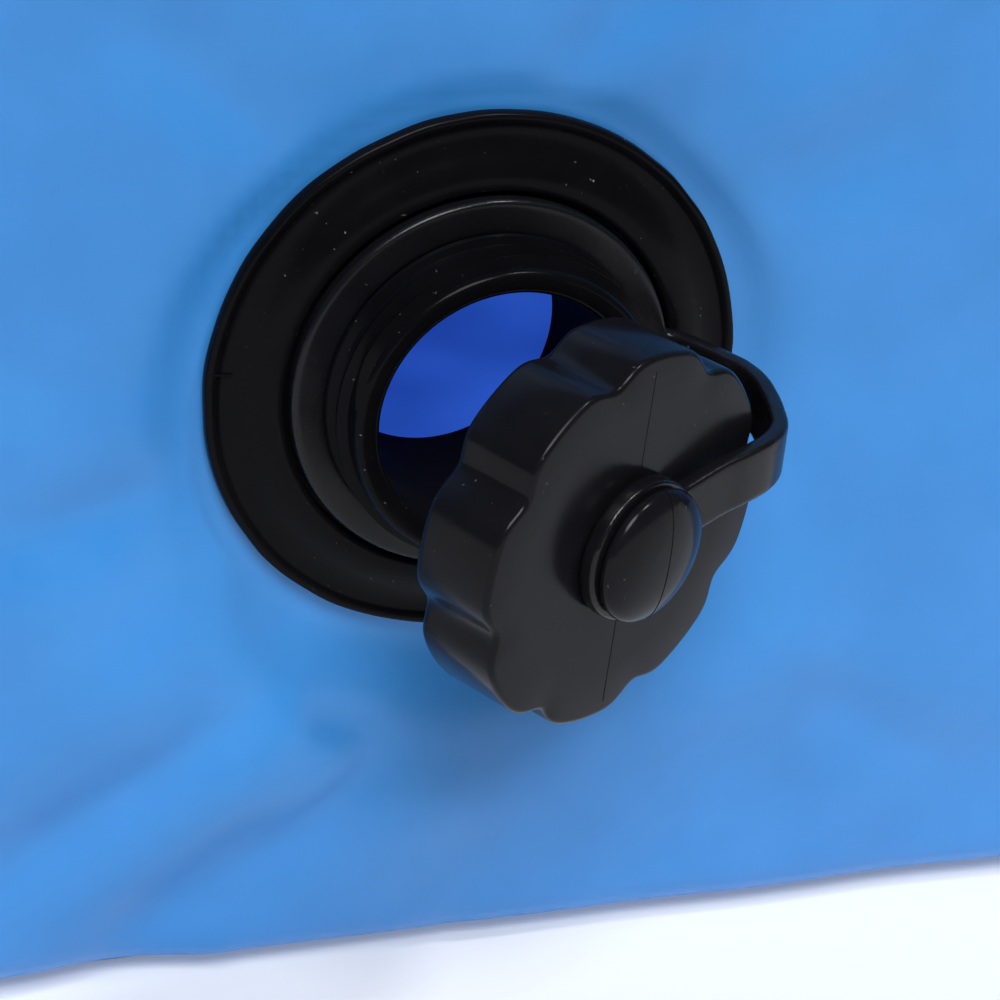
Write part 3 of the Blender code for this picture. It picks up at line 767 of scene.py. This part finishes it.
def strip_section():
    radius = FOLD_R + GAP + TAPE
    low = BAND_FLOOR + FOLD_R
    high = TOP - FOLD_R
    return (arc((FOLD_R, low), radius, 225, 180, 5) + arc((FOLD_R, high), radius, 180, 90, 10)
            + [(22 * MM, high + radius)])


def thick_sheet(name, bm, material, thick, slot, node):
    """Finish a dragged sheet: thickness under it, then its body and node."""
    sheet = mesh_object(name, bm, [material], 40)
    solid = sheet.modifiers.new("thickness", "SOLIDIFY")
    solid.thickness = thick
    solid.offset = -1
    return rides(sheet, "root", slot, node)


for node in sorted(n for n in frame["nodes"] if n.startswith("lap_strip")):
    low_corner, high_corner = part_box(node)
    side = 1 if low_corner.x > 0 else -1
    strip_bm = bmesh.new()
    rim = chain(strip_bm, [(side * (HALF_WIDE - inset), low_corner.y, z) for inset, z in strip_section()])
    run_straight(strip_bm, rim, evenly(Vector((0, 2 * STRIP_HALF, 0)), 6))
    if side > 0:
        bmesh.ops.reverse_faces(strip_bm, faces=strip_bm.faces)
    strip_bm.normal_update()
    if max(strip_bm.faces, key=lambda f: f.calc_center_median().z).normal.z < 0:
        bmesh.ops.reverse_faces(strip_bm, faces=strip_bm.faces)
    thick_sheet(node.replace("lap_strip", "joint_strip"), strip_bm, seam, TAPE, "blue_seam_tape", node)


def all_round(section):
    """Drag a section once round the whole mat."""
    bm = bmesh.new()
    corner_x = HALF_WIDE - CORNER_R
    corner_y = HALF_LONG - CORNER_R
    edges = chain(bm, [(-corner_x, -HALF_LONG + inset, z) for inset, z in section])
    edges = run_straight(bm, edges, evenly(Vector((2 * corner_x, 0, 0)), 40))
    edges = run_corner(bm, edges, (corner_x, -corner_y, 0))
    edges = run_straight(bm, edges, evenly(Vector((0, 2 * corner_y, 0)), 120))
    edges = run_corner(bm, edges, (corner_x, corner_y, 0))
    edges = run_straight(bm, edges, evenly(Vector((-2 * corner_x, 0, 0)), 40))
    edges = run_corner(bm, edges, (-corner_x, corner_y, 0))
    edges = run_straight(bm, edges, evenly(Vector((0, -2 * corner_y, 0)), 120))
    run_corner(bm, edges, (-corner_x, -corner_y, 0))
    bmesh.ops.remove_doubles(bm, verts=bm.verts, dist=0.05 * MM)
    bm.normal_update()
    if max(bm.faces, key=lambda f: abs(f.normal.z)).normal.z < 0:
        bmesh.ops.reverse_faces(bm, faces=bm.faces)
    return bm


def tape_section(lap_z, panel_z):
    """A tape from the lap down over its edge on to the panel."""
    high = lap_z + GAP + TAPE
    low = panel_z + GAP + TAPE
    slope = [(LAP + GAP + TAPE * (0.9 + 1.8 * k / 6), high + (low - high) * ease(k, 0, 6)) for k in range(7)]
    on_lap = [(LAP - TAPE_HALF, high), (LAP - 8 * MM, high)]
    on_panel = [(LAP + 12 * MM, low), (LAP + TAPE_HALF, low)]
    return on_lap + slope + on_panel


thick_sheet("deck_seam_tape", all_round(tape_section(TOP, deck_high.z)), seam, TAPE,
            "blue_seam_tape", "top_seam_tape")
thick_sheet("floor_seam_tape", all_round(tape_section(BAND_FLOOR + SKIN, floor_high.z)), seam, TAPE,
            "blue_seam_tape", "bottom_seam_tape")

# %% [markdown]
# ## Top and bottom panels
#
# Each panel is a rounded rectangle of fabric: a flat box whose upright edges are bevelled to the
# mat's corner. The top gets the deck's dimples from its material. On the inner face an inset marks the
# part that shows inside the mat, which gets the inner side's painted glow.


# %% Panels
def panel(name, node, outer, inner, inner_side_up):
    low_corner, high_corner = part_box(node)
    size = high_corner - low_corner
    bm = bmesh.new()
    bmesh.ops.create_cube(bm, size=1.0)
    bmesh.ops.scale(bm, vec=size, verts=bm.verts)
    bmesh.ops.translate(bm, vec=(low_corner + high_corner) / 2, verts=bm.verts)
    upright = [e for e in bm.edges if abs(e.verts[0].co.z - e.verts[1].co.z) > size.z / 2]
    bmesh.ops.bevel(bm, geom=upright, offset=CORNER_R - (HALF_WIDE - high_corner.x), offset_type="OFFSET",
                    affect="EDGES", segments=14, profile=0.5, material=-1)
    bm.normal_update()
    inside = max(bm.faces, key=lambda f: f.calc_center_median().z * (1 if inner_side_up else -1))
    bmesh.ops.inset_region(bm, faces=[inside], thickness=LAP, depth=0.0, use_even_offset=True)
    inside.material_index = 1
    return rides(mesh_object(name, bm, [outer, inner]), "root", "blue_coated_fabric", node)


deck = panel("deck_panel", "top_panel", deck_cloth, inner_painted_glow, False)
underside = panel("underside_panel", "bottom_panel", skin, inner_painted_glow, True)

# %% [markdown]
# ## The drop-stitch core
#
# Inside, two base cloths are glued to the panels, and threads as long as the mat is thick run between
# them. They are what keeps the mat flat. A real mat has tens of thousands. Here each strand stands
# for a bundle, and a pocket behind the valve is left open, as it has to be for the air to come in.

# %% Core
core_low, core_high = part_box("drop_stitch_core")
CLOTH = 0.8 * MM
YARN_PITCH = 24 * MM
YARN_R = 0.5 * MM
POCKET_R = 0.27
pocket_at = Vector((valve_at.x + 0.05, valve_at.y, 0))

cloth_size = (core_high.x - core_low.x, core_high.y - core_low.y, CLOTH)
cloth_bm = bmesh.new()
for level in (core_low.z + CLOTH / 2, core_high.z - CLOTH / 2):
    made = bmesh.ops.create_cube(cloth_bm, size=1.0)
    bmesh.ops.scale(cloth_bm, vec=cloth_size, verts=made["verts"])
    bmesh.ops.translate(cloth_bm, vec=(0, 0, level), verts=made["verts"])
cloths = mesh_object("core_base_cloths", cloth_bm, [painted_glow_base_cloth])
rides(cloths, "root", "drop_stitch_cloth", "drop_stitch_core")

yarn_bm = bmesh.new()
columns = int((core_high.x - core_low.x) / YARN_PITCH)
rows = int((core_high.y - core_low.y) / YARN_PITCH)
yarn_low = core_low.z + CLOTH
yarn_high = core_high.z - CLOTH
for column in range(columns):
    for row in range(rows):
        spot = Vector((core_low.x + YARN_PITCH * (column + 0.5), core_low.y + YARN_PITCH * (row + 0.5), 0))
        if (spot - pocket_at).length < POCKET_R:
            continue
        spot.z = (yarn_low + yarn_high) / 2
        bmesh.ops.create_cone(yarn_bm, cap_ends=True, segments=4, radius1=YARN_R, radius2=YARN_R,
                              depth=yarn_high - yarn_low, matrix=Matrix.Translation(spot))
rides(mesh_object("core_drop_threads", yarn_bm, [painted_glow_yarn]), "root", "drop_stitch_cloth")

# %% [markdown]
# ## Curves through points
#
# The tether's route and the flange's dish are smooth lines through a few listed points. A
# Catmull-Rom curve passes through every one of them, so the points mean what they say.


# %% Smooth lines
def smooth_line(points, pieces=8):
    points = [Vector(p) for p in points]
    padded = [2 * points[0] - points[1]] + points + [2 * points[-1] - points[-2]]
    line = []
    for k in range(1, len(padded) - 2):
        a, b, c, d = padded[k - 1:k + 3]
        for m in range(pieces):
            s = m / pieces
            line.append(0.5 * (2 * b + (c - a) * s + (2 * a - 5 * b + 4 * c - d) * s ** 2
                               + (3 * b - a - 3 * c + d) * s ** 3))
    return line + [points[-1]]


# %% [markdown]
# ## The valve body
#
# One moulding: a wide flange with a raised bead on its rim, a dished face, a groove for the tether's
# ring under a small collar, a neck, and a bore with a rounded lip. The outline is spun round the
# valve's axis and its sharp rims are bevelled, because a moulded edge always shows a highlight.

# %% Valve body
BORE_R = 18.6
NECK_R = 22.3
NECK_TOP = 16.4
NECK_TAIL = -17.0

flange = smooth_line([(39.9, 1.3), (39.7, 2.1), (39.1, 2.4), (38.4, 2.2), (37.8, 1.9), (36.4, 2.0),
                      (34.6, 2.6), (33.0, 3.4), (31.4, 4.0), (30.0, 4.2), (29.3, 4.1), (28.95, 3.7)], 4)
valve_outline = ([(BORE_R, NECK_TAIL), (19.8, -17.6), (21.4, -17.6), (22.1, NECK_TAIL), (22.1, 0.3),
                  (39.4, 0.3), (39.9, 0.7)]
                 + [(point.x, point.y) for point in flange]
                 + [(28.85, 2.3), (22.5, 2.3), (22.5, 6.1), (23.5, 6.2), (23.9, 6.6), (23.7, 7.1),
                    (22.6, 7.5), (NECK_R, 8.0), (NECK_R, NECK_TOP - 0.9)]
                 + arc((21.2, NECK_TOP - 1.1), 1.1, 10, 90, 4)
                 + [(20.3, NECK_TOP)]
                 + arc((20.3, NECK_TOP - 1.7), 1.7, 100, 180, 5))


def helical_ridge(bm, root_r, crest_r, start_z, pitch, turns, half_base, half_crest, steps_a_turn=72):
    """A screw thread's ridge, extruded step by step up its helix, with ends that taper away."""
    count = int(turns * steps_a_turn)

    def station(step):
        angle = 2 * math.pi * step / steps_a_turn
        middle = start_z + pitch * step / steps_a_turn
        top_r = root_r + (crest_r - root_r) * min(1.0, step / 5 + 0.05, (count - step) / 5 + 0.05)
        section = ((root_r, -half_base), (top_r, -half_crest), (top_r, half_crest), (root_r, half_base))
        return [Vector((r * math.cos(angle), r * math.sin(angle), middle + dz)) for r, dz in section]

    edges = chain(bm, station(0), closed=True)
    bmesh.ops.contextual_create(bm, geom=edges)
    for step in range(1, count + 1):
        made = bmesh.ops.extrude_edge_only(bm, edges=edges)["geom"]
        fresh = new_verts(made)
        edges = [e for e in new_edges(made) if all(v in fresh for v in e.verts)]
        before, after = station(step - 1), station(step)
        for vert in fresh:
            nearest = min(range(4), key=lambda k: (vert.co - before[k]).length)
            vert.co = after[nearest]
    bmesh.ops.contextual_create(bm, geom=edges)


# %% [markdown]
# A mould's two halves meet in a parting line, and a little plastic creeps into it. It shows as a
# hair-fine ridge, here a very thin box laid between two points of the surface.


# %% Parting lines
def flash_line(bm, start, stop, wide=0.22, high=0.16):
    """A hair-fine parting line left by the mould, between two points of a surface."""
    start, stop = Vector(start), Vector(stop)
    along = stop - start
    turn = along.to_track_quat("X", "Z").to_matrix().to_4x4()
    made = bmesh.ops.create_cube(bm, size=1.0)
    bmesh.ops.scale(bm, vec=(along.length, wide, high), verts=made["verts"])
    bmesh.ops.transform(bm, matrix=Matrix.Translation((start + stop) / 2) @ turn, verts=made["verts"])


# %% [markdown]
# The spun body now gets what a spin can't give: a rim that wavers a little, because a wide thin flange
# warps as it cools, the thread, and the parting line across the flange.

# %% Finish the valve body
RIM_WAVER = 0.17

valve_bm = turned(valve_outline, 160, 0.16)
for vert in valve_bm.verts:
    out_r = math.hypot(vert.co.x, vert.co.y)
    if out_r > 37:
        angle = math.atan2(vert.co.y, vert.co.x)
        wobble = noise.noise(Vector((math.cos(angle), math.sin(angle), 0)) * 6) * RIM_WAVER
        share = ease(out_r, 37, 39.5)
        vert.co.x *= 1 + wobble * share / out_r
        vert.co.y *= 1 + wobble * share / out_r
helical_ridge(valve_bm, 22.0, 23.7, 9.6, 3.6, 1.5, 1.0, 0.3)
bmesh.ops.recalc_face_normals(valve_bm, faces=valve_bm.faces)
for face in valve_bm.faces:
    middle = face.calc_center_median()
    if math.hypot(middle.x, middle.y) < BORE_R + 0.3:
        face.material_index = 1
for angle, from_r, to_r in ((176, 36.2, 39.4), (-4, 36.2, 39.4)):
    spoke = Vector((math.cos(math.radians(angle)), math.sin(math.radians(angle)), 0))
    flash_line(valve_bm, spoke * from_r + Vector((0, 0, 2.2)), spoke * to_r + Vector((0, 0, 2.35)))
valve_body = mesh_object("valve_body_moulding", placed(valve_bm, valve_frame),
                         [valve_plastic, bore_plastic], 40)
rides(valve_body, "root", "black_moulded_plastic", "valve_body")

# %% [markdown]
# Inside the mat a flat ring of fabric backs the skin, so that the neck's weld doesn't tear it.

# %% Backing ring
backing_low, backing_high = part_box("valve_backing_ring")
backing_r = (backing_high.x - backing_low.x) / 2 / MM
backing_out = -(backing_high.y - valve_at.y) / MM
backing_bm = turned([(24.0, backing_out), (backing_r, backing_out), (backing_r, backing_out + 1),
                     (24.0, backing_out + 1)], 96, 0.2)
rides(mesh_object("valve_backing_disc", placed(backing_bm, valve_frame), [seam]), "root",
      "blue_seam_tape", "valve_backing_ring")

# %% [markdown]
# ## The cap
#
# The cap is stacked ring on ring: a circle is extruded, and each new ring gets its own height and
# outline. Round rings make the bore, stem and knob, and lobed rings the grip, whose radius dips into
# eight narrow flutes. The rings crowd together at the edges, where the shape turns.

# %% Cap
LOBES = 8
LOBE_R = 27.4
FLUTE_DEPTH = 2.0
LOBE_PHASE = math.radians(37.9)
CAP_HEIGHT = 12.9


def lobed(inset):
    """A grip ring's radius at an angle, drawn in by an inset."""
    def radius(angle):
        wave = 0.5 - 0.5 * math.cos(LOBES * (angle - LOBE_PHASE))
        return LOBE_R - FLUTE_DEPTH * wave ** 4 - inset
    return radius


def plain(radius):
    return lambda angle: radius


def stacked(bm, rings, steps):
    """Extrude a circle through rings of (radius rule, height), with both ends closed."""
    made = bmesh.ops.create_circle(bm, cap_ends=False, radius=10, segments=steps)
    edges = list({e for v in made["verts"] for e in v.link_edges})
    fresh = made["verts"]
    for k, (radius, z) in enumerate(rings):
        if k:
            geom = bmesh.ops.extrude_edge_only(bm, edges=edges)["geom"]
            fresh = new_verts(geom)
            edges = [e for e in new_edges(geom) if all(v in fresh for v in e.verts)]
        for vert in fresh:
            angle = math.atan2(vert.co.y, vert.co.x)
            reach = radius(angle)
            vert.co = (reach * math.cos(angle), reach * math.sin(angle), z)
        if k in (0, len(rings) - 1):
            bmesh.ops.contextual_create(bm, geom=edges)


# %% [markdown]
# The list of rings runs from the bore's ceiling down its wall, round the rim, up the lobed grip, over
# the face and up the stem to the knob. The grip's face edge is a quarter round in five steps.

# %% Build the cap
FACE_EDGE_R = 0.9
edge_angles = [math.radians(90 - 18 * k) for k in range(6)]
grip_edge = [(lobed(FACE_EDGE_R * (1 - math.sin(a))), -FACE_EDGE_R * (1 - math.cos(a))) for a in edge_angles]
knob = smooth_line([(8.9, 3.4), (9.5, 3.75), (9.7, 4.4), (9.35, 5.15), (8.5, 5.75), (7.2, 6.3), (5.5, 6.75),
                    (3.2, 7.05), (1.2, 7.15)], 3)
cap_rings = ([(plain(18.4), -3.0), (plain(24.2), -3.0), (plain(24.4), -3.2), (plain(24.4), -12.5),
              (plain(24.6), -12.8), (plain(24.9), -CAP_HEIGHT), (lobed(0.7), -CAP_HEIGHT),
              (lobed(0.3), -12.75), (lobed(0.05), -12.4), (lobed(-0.05), -11.8), (lobed(0.0), -6.0)]
             + grip_edge
             + [(plain(20.0), 0.0), (plain(7.4), 0.0), (plain(6.5), 0.05), (plain(6.0), 0.3),
                (plain(5.75), 0.8), (plain(5.7), 2.9), (plain(5.9), 3.3), (plain(6.3), 3.4)]
             + [(plain(point.x), point.y) for point in knob]
             + [(plain(0.4), 7.17)])
cap_bm = bmesh.new()
stacked(cap_bm, cap_rings, 30 * LOBES)
helical_ridge(cap_bm, 24.6, 23.2, -10.6, 3.6, 1.2, 0.9, 0.35)
bmesh.ops.recalc_face_normals(cap_bm, faces=cap_bm.faces)
for sign in (1, -1):
    flash_line(cap_bm, (0.6, sign * 9.9, 0.0), (0.6, sign * 25.2, 0.0), 0.16, 0.12)
crest = [point for point in knob if point.y > 4.4]
profile = [(point.x, point.y) for point in crest] + [(0, 7.17)]
profile += [(-r, z) for r, z in reversed(profile[:-1])]
for (y0, z0), (y1, z1) in zip(profile, profile[1:]):
    flash_line(cap_bm, (0.6, y0, z0), (0.6, y1, z1), 0.16, 0.14)
for turn_deg, z in ((74, -1.9), (71, -2.1)):
    spoke = Vector((math.cos(math.radians(turn_deg)), math.sin(math.radians(turn_deg)), 0))
    bur_start = spoke * 26.7 + Vector((0, 0, z))
    bur_end = spoke * 27.15 + Vector((1.1, -0.3, z - 0.5))
    flash_line(cap_bm, bur_start, bur_end, 0.35, 0.3)
cap = mesh_object("screw_cap", placed(cap_bm, cap_frame), [cap_plastic], 40)
rides(cap, "cap", "black_moulded_plastic", "valve_cap")


# %% Gasket
GASKET_LOW, GASKET_TOP = -4.5, -3.3
gasket_outline = [(19.2, GASKET_LOW), (23.9, GASKET_LOW), (23.9, GASKET_TOP), (19.2, GASKET_TOP)]
gasket_bm = turned(gasket_outline, 96, 0.35)
gasket = mesh_object("cap_sealing_gasket", placed(gasket_bm, cap_frame), [rubber])
rides(gasket, "cap", "black_gasket_rubber", "cap_gasket")

# %% [markdown]
# ## The tether
#
# The tether is one soft moulding: a ring in the neck's groove, a strap that curls out, and an eye round
# the knob's stem. The strap is modelled straight, as a bar with rounded edges, and then laid along its
# route point by point. The three shapes are fused by a voxel remesh, and a smoothing rounds the roots
# of the strap as a mould does.

# %% Tether
STRAP_WIDE = 8.2
STRAP_THICK = 2.6
FROM_RING = [(26.6, 2.9, 4.05), (28.9, 2.8, 5.2), (31.3, 2.6, 8.3), (33.5, 2.3, 11.5), (35.5, 2.0, 14.9)]
TO_EYE = [(33.9, 7.2, -4.4), (31.4, 7.0, -1.3), (28.4, 6.7, 1.7), (24.5, 6.3, 3.1), (20.0, 5.7, 3.1),
          (15.5, 4.9, 2.5), (8.6, 3.1, 1.8)]
VOXEL = 0.32

cap_in_valve = valve_frame.inverted() @ cap_frame
route = [Vector(p) for p in FROM_RING]
route.append(valve_frame.inverted() @ bend_at / MM)
for point in TO_EYE:
    route.append((cap_in_valve @ (Vector(point) * MM)) / MM)
route = smooth_line(route)
lengths = [0.0]
for before, after in zip(route, route[1:]):
    lengths.append(lengths[-1] + (after - before).length)


def on_route(distance):
    """The route's point and direction after a distance."""
    distance = min(max(distance, 0.0), lengths[-1] - 0.001)
    k = max(i for i in range(len(lengths) - 1) if lengths[i] <= distance)
    share = (distance - lengths[k]) / (lengths[k + 1] - lengths[k])
    ahead = route[min(k + 2, len(route) - 1)] - route[max(k - 1, 0)]
    return route[k].lerp(route[k + 1], share), ahead.normalized()


def straight_bar(long, wide, thick, cuts, soften):
    """A bar along X from 0 to its length, with rounded long edges and many slices."""
    bm = bmesh.new()
    bmesh.ops.create_cube(bm, size=1.0)
    bmesh.ops.scale(bm, vec=(long, wide, thick), verts=bm.verts)
    bmesh.ops.translate(bm, vec=(long / 2, 0, 0), verts=bm.verts)
    lengthwise = [e for e in bm.edges if abs(e.verts[0].co.x - e.verts[1].co.x) > long / 2]
    bmesh.ops.bevel(bm, geom=lengthwise, offset=soften, offset_type="OFFSET", affect="EDGES", segments=3,
                    profile=0.5, material=-1)
    lengthwise = [e for e in bm.edges if abs(e.verts[0].co.x - e.verts[1].co.x) > long / 2]
    bmesh.ops.subdivide_edges(bm, edges=lengthwise, cuts=cuts, use_grid_fill=True)
    return bm


# %% Fuse the ring, strap and eye
tether_bm = straight_bar(lengths[-1], STRAP_WIDE, STRAP_THICK, 90, 0.6)
for vert in tether_bm.verts:
    middle, ahead = on_route(vert.co.x)
    across = Vector((0, 1, 0))
    across = (across - ahead * across.dot(ahead)).normalized()
    vert.co = middle + across * vert.co.y + ahead.cross(across) * vert.co.z
ring_bm = turned([(23.0, 2.6), (28.3, 2.6), (28.3, 5.5), (23.0, 5.5)], 128, 0.7)
eye_bm = turned([(6.2, 0.5), (10.3, 0.5), (10.3, 3.1), (6.2, 3.1)], 96, 0.5)
eye_turn = Matrix.Scale(1 / MM, 4) @ cap_in_valve @ Matrix.Scale(MM, 4)
bmesh.ops.transform(eye_bm, matrix=eye_turn, verts=eye_bm.verts)
for part in (ring_bm, eye_bm):
    carrier = bpy.data.meshes.new("carrier")
    part.to_mesh(carrier)
    part.free()
    tether_bm.from_mesh(carrier)
    bpy.data.meshes.remove(carrier)
rough = mesh_object("tether_before_fusing", tether_bm, [soft_plastic])
fuse = rough.modifiers.new("fuse", "REMESH")
fuse.mode = "VOXEL"
fuse.voxel_size = VOXEL
fuse.adaptivity = 0.0
soften = rough.modifiers.new("soften", "SMOOTH")
soften.factor = 0.5
soften.iterations = 7
bpy.context.view_layer.update()
fused = bpy.data.meshes.new_from_object(rough.evaluated_get(bpy.context.evaluated_depsgraph_get()))
bpy.data.objects.remove(rough)
tether_bm = bmesh.new()
tether_bm.from_mesh(fused)
bpy.data.meshes.remove(fused)
tether = mesh_object("cap_tether", placed(tether_bm, valve_frame), [soft_plastic], 60)
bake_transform(tether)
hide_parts("tether_ring", "tether_eye")

# %% [markdown]
# ## The handles
#
# Each handle is one length of webbing. Its tails are sewn to two welded patches, and between them it
# hangs slack, so that a hand fits behind it. Everything is drawn in the handle's own frame, X along the
# wall, Y up and Z outwards, and then carried to six places, which the lift joints give.

# %% Handle shapes
WEB_WIDE = 38.0
WEB_THICK = 2.0
ANCHOR = 76.0
TAIL_END = 132.0
BOW_FLAT = 18.0
BOW_REACH = 44.0
DROOP = math.radians(35)
AXIS_OUT = 2.4
PATCH_LONG = 92.0
PATCH_TALL = 78.0
PATCH_MIDDLE = 110.0


def bow_place(along):
    """The webbing's middle, its width's direction and its outer side's direction at a place."""
    def middle(u):
        lift = BOW_REACH * ease(ANCHOR - abs(u), 0, ANCHOR - BOW_FLAT)
        return lift, Vector((u, -lift * math.sin(DROOP), AXIS_OUT + lift * math.cos(DROOP)))

    lift, here = middle(along)
    ahead = (middle(along + 0.5)[1] - middle(along - 0.5)[1]).normalized()
    lean = min(DROOP, math.asin(min(1.0, 0.55 * lift * math.cos(DROOP) / (WEB_WIDE / 2))))
    across = Vector((0, math.cos(lean), math.sin(lean)))
    across = (across - ahead * across.dot(ahead)).normalized()
    return here, across, ahead.cross(across)


def handle_strap():
    """One length of webbing from tail to tail, with a UV map in metres."""
    bm = straight_bar(2 * TAIL_END, WEB_WIDE, WEB_THICK, 120, 0.7)
    uv = bm.loops.layers.uv.new("strap")
    for face in bm.faces:
        for loop in face.loops:
            loop[uv].uv = (loop.vert.co.x * MM, loop.vert.co.y * MM)
    for vert in bm.verts:
        middle, across, out = bow_place(vert.co.x - TAIL_END)
        vert.co = middle + across * vert.co.y + out * vert.co.z
    return bm


def handle_patch(side):
    """A rounded rectangle whose rim is pressed thinner by the weld."""
    bm = bmesh.new()
    bmesh.ops.create_cube(bm, size=1.0)
    bmesh.ops.scale(bm, vec=(PATCH_LONG, PATCH_TALL, 0.8), verts=bm.verts)
    bmesh.ops.translate(bm, vec=(side * PATCH_MIDDLE, 0, 0.3 + 0.4), verts=bm.verts)
    upright = [e for e in bm.edges if abs(e.verts[0].co.z - e.verts[1].co.z) > 0.4]
    bmesh.ops.bevel(bm, geom=upright, offset=18, offset_type="OFFSET", affect="EDGES", segments=12,
                    profile=0.5, material=-1)
    top = max(bm.faces, key=lambda f: f.calc_center_median().z)
    bmesh.ops.inset_region(bm, faces=[top], thickness=5.0, depth=0.0, use_even_offset=True)
    bmesh.ops.inset_region(bm, faces=[top], thickness=0.5, depth=0.0, use_even_offset=True)
    bmesh.ops.translate(bm, vec=(0, 0, 0.2), verts=top.verts)
    return bm


# %% [markdown]
# The tails are sewn down with a box and a cross, the strongest simple seam. A stitch is a small sunk
# bead, an icosphere of a few faces, because there are about a thousand of them on the mat.

# %% Stitching
STITCH = 3.1
SEWN_FROM, SEWN_TO, SEWN_HALF = 81, 127, 14


def stitch_row(bm, start, stop, out):
    """Stitches from one corner to another, each a small ellipsoid sunk into the webbing."""
    start, stop = Vector(start), Vector(stop)
    count = max(1, round((stop - start).length / STITCH))
    step = (stop - start) / count
    turn = Matrix.Rotation(math.atan2(step.y, step.x), 4, "Z")
    shape = Matrix.Diagonal((step.length * 0.42, 0.42, 0.3, 1))
    for k in range(count):
        middle = start + step * (k + 0.5)
        place = Matrix.Translation((middle.x, middle.y, out)) @ turn @ shape
        bmesh.ops.create_icosphere(bm, subdivisions=1, radius=1.0, matrix=place)


def handle_stitching():
    """A sewn box with a cross on each tail."""
    bm = bmesh.new()
    for side in (-1, 1):
        near, far, half = side * SEWN_FROM, side * SEWN_TO, SEWN_HALF
        box = [(near, -half), (far, -half), (far, half), (near, half)]
        for first, second in zip(box, box[1:] + box[:1]):
            stitch_row(bm, (*first, 0), (*second, 0), AXIS_OUT + WEB_THICK / 2)
        stitch_row(bm, (near, -half, 0), (far, half, 0), AXIS_OUT + WEB_THICK / 2)
        stitch_row(bm, (near, half, 0), (far, -half, 0), AXIS_OUT + WEB_THICK / 2)
    return bm


# %% [markdown]
# The lift joint gives each handle's place: its axis runs along the wall, and the outward direction
# follows from it. Where the webbing leaves the wall it leans over, so that it twists as cloth does in a
# lifted bow.

# %% Place the six handles
for name in sorted(joint for joint in joints if joint.endswith("_lift")):
    handle = name.removesuffix("_lift")
    axis_at = Vector(joints[name]["pos_m"])
    along_wall = -Vector(joints[name]["axis"])
    out_of_wall = along_wall.cross(Vector((0, 0, 1)))
    turn = Matrix((along_wall, Vector((0, 0, 1)), out_of_wall)).transposed().to_4x4()
    wall_spot = axis_at - out_of_wall * 2.6 * MM
    handle_frame = Matrix.Translation(wall_spot) @ turn
    for side, tag in ((-1, "a"), (1, "b")):
        patch_bm = placed(handle_patch(side), handle_frame)
        patch = mesh_object(f"{handle}_welded_patch_{tag}", patch_bm, [patch_cloth])
        rides(patch, "root", "blue_coated_fabric", f"{handle}_patch_{tag}")
    stitching = mesh_object(f"{handle}_stitching", placed(handle_stitching(), handle_frame), [thread])
    rides(stitching, "root", "black_webbing")
    strap = mesh_object(f"{handle}_webbing", placed(handle_strap(), handle_frame), [webbing], 60)
    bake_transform(strap)
    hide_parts(f"{handle}_strap")

# %% [markdown]
# ## Flat sizes
#
# The bands, panels and cloths are cut flat before they are welded. The bands' cut width and lengths
# are worked out here and printed.

girth = TOP + 2 * LAP
straight_side = 2 * BAND_END
round_end = 2 * (HALF_WIDE - CORNER_R) + math.pi * CORNER_R + 2 * (HALF_LONG - CORNER_R - BAND_END)
cut_sizes = [round(length, 3) for length in (girth, round_end, straight_side)]
print("bands cut: width, end length, side length", cut_sizes, "m")
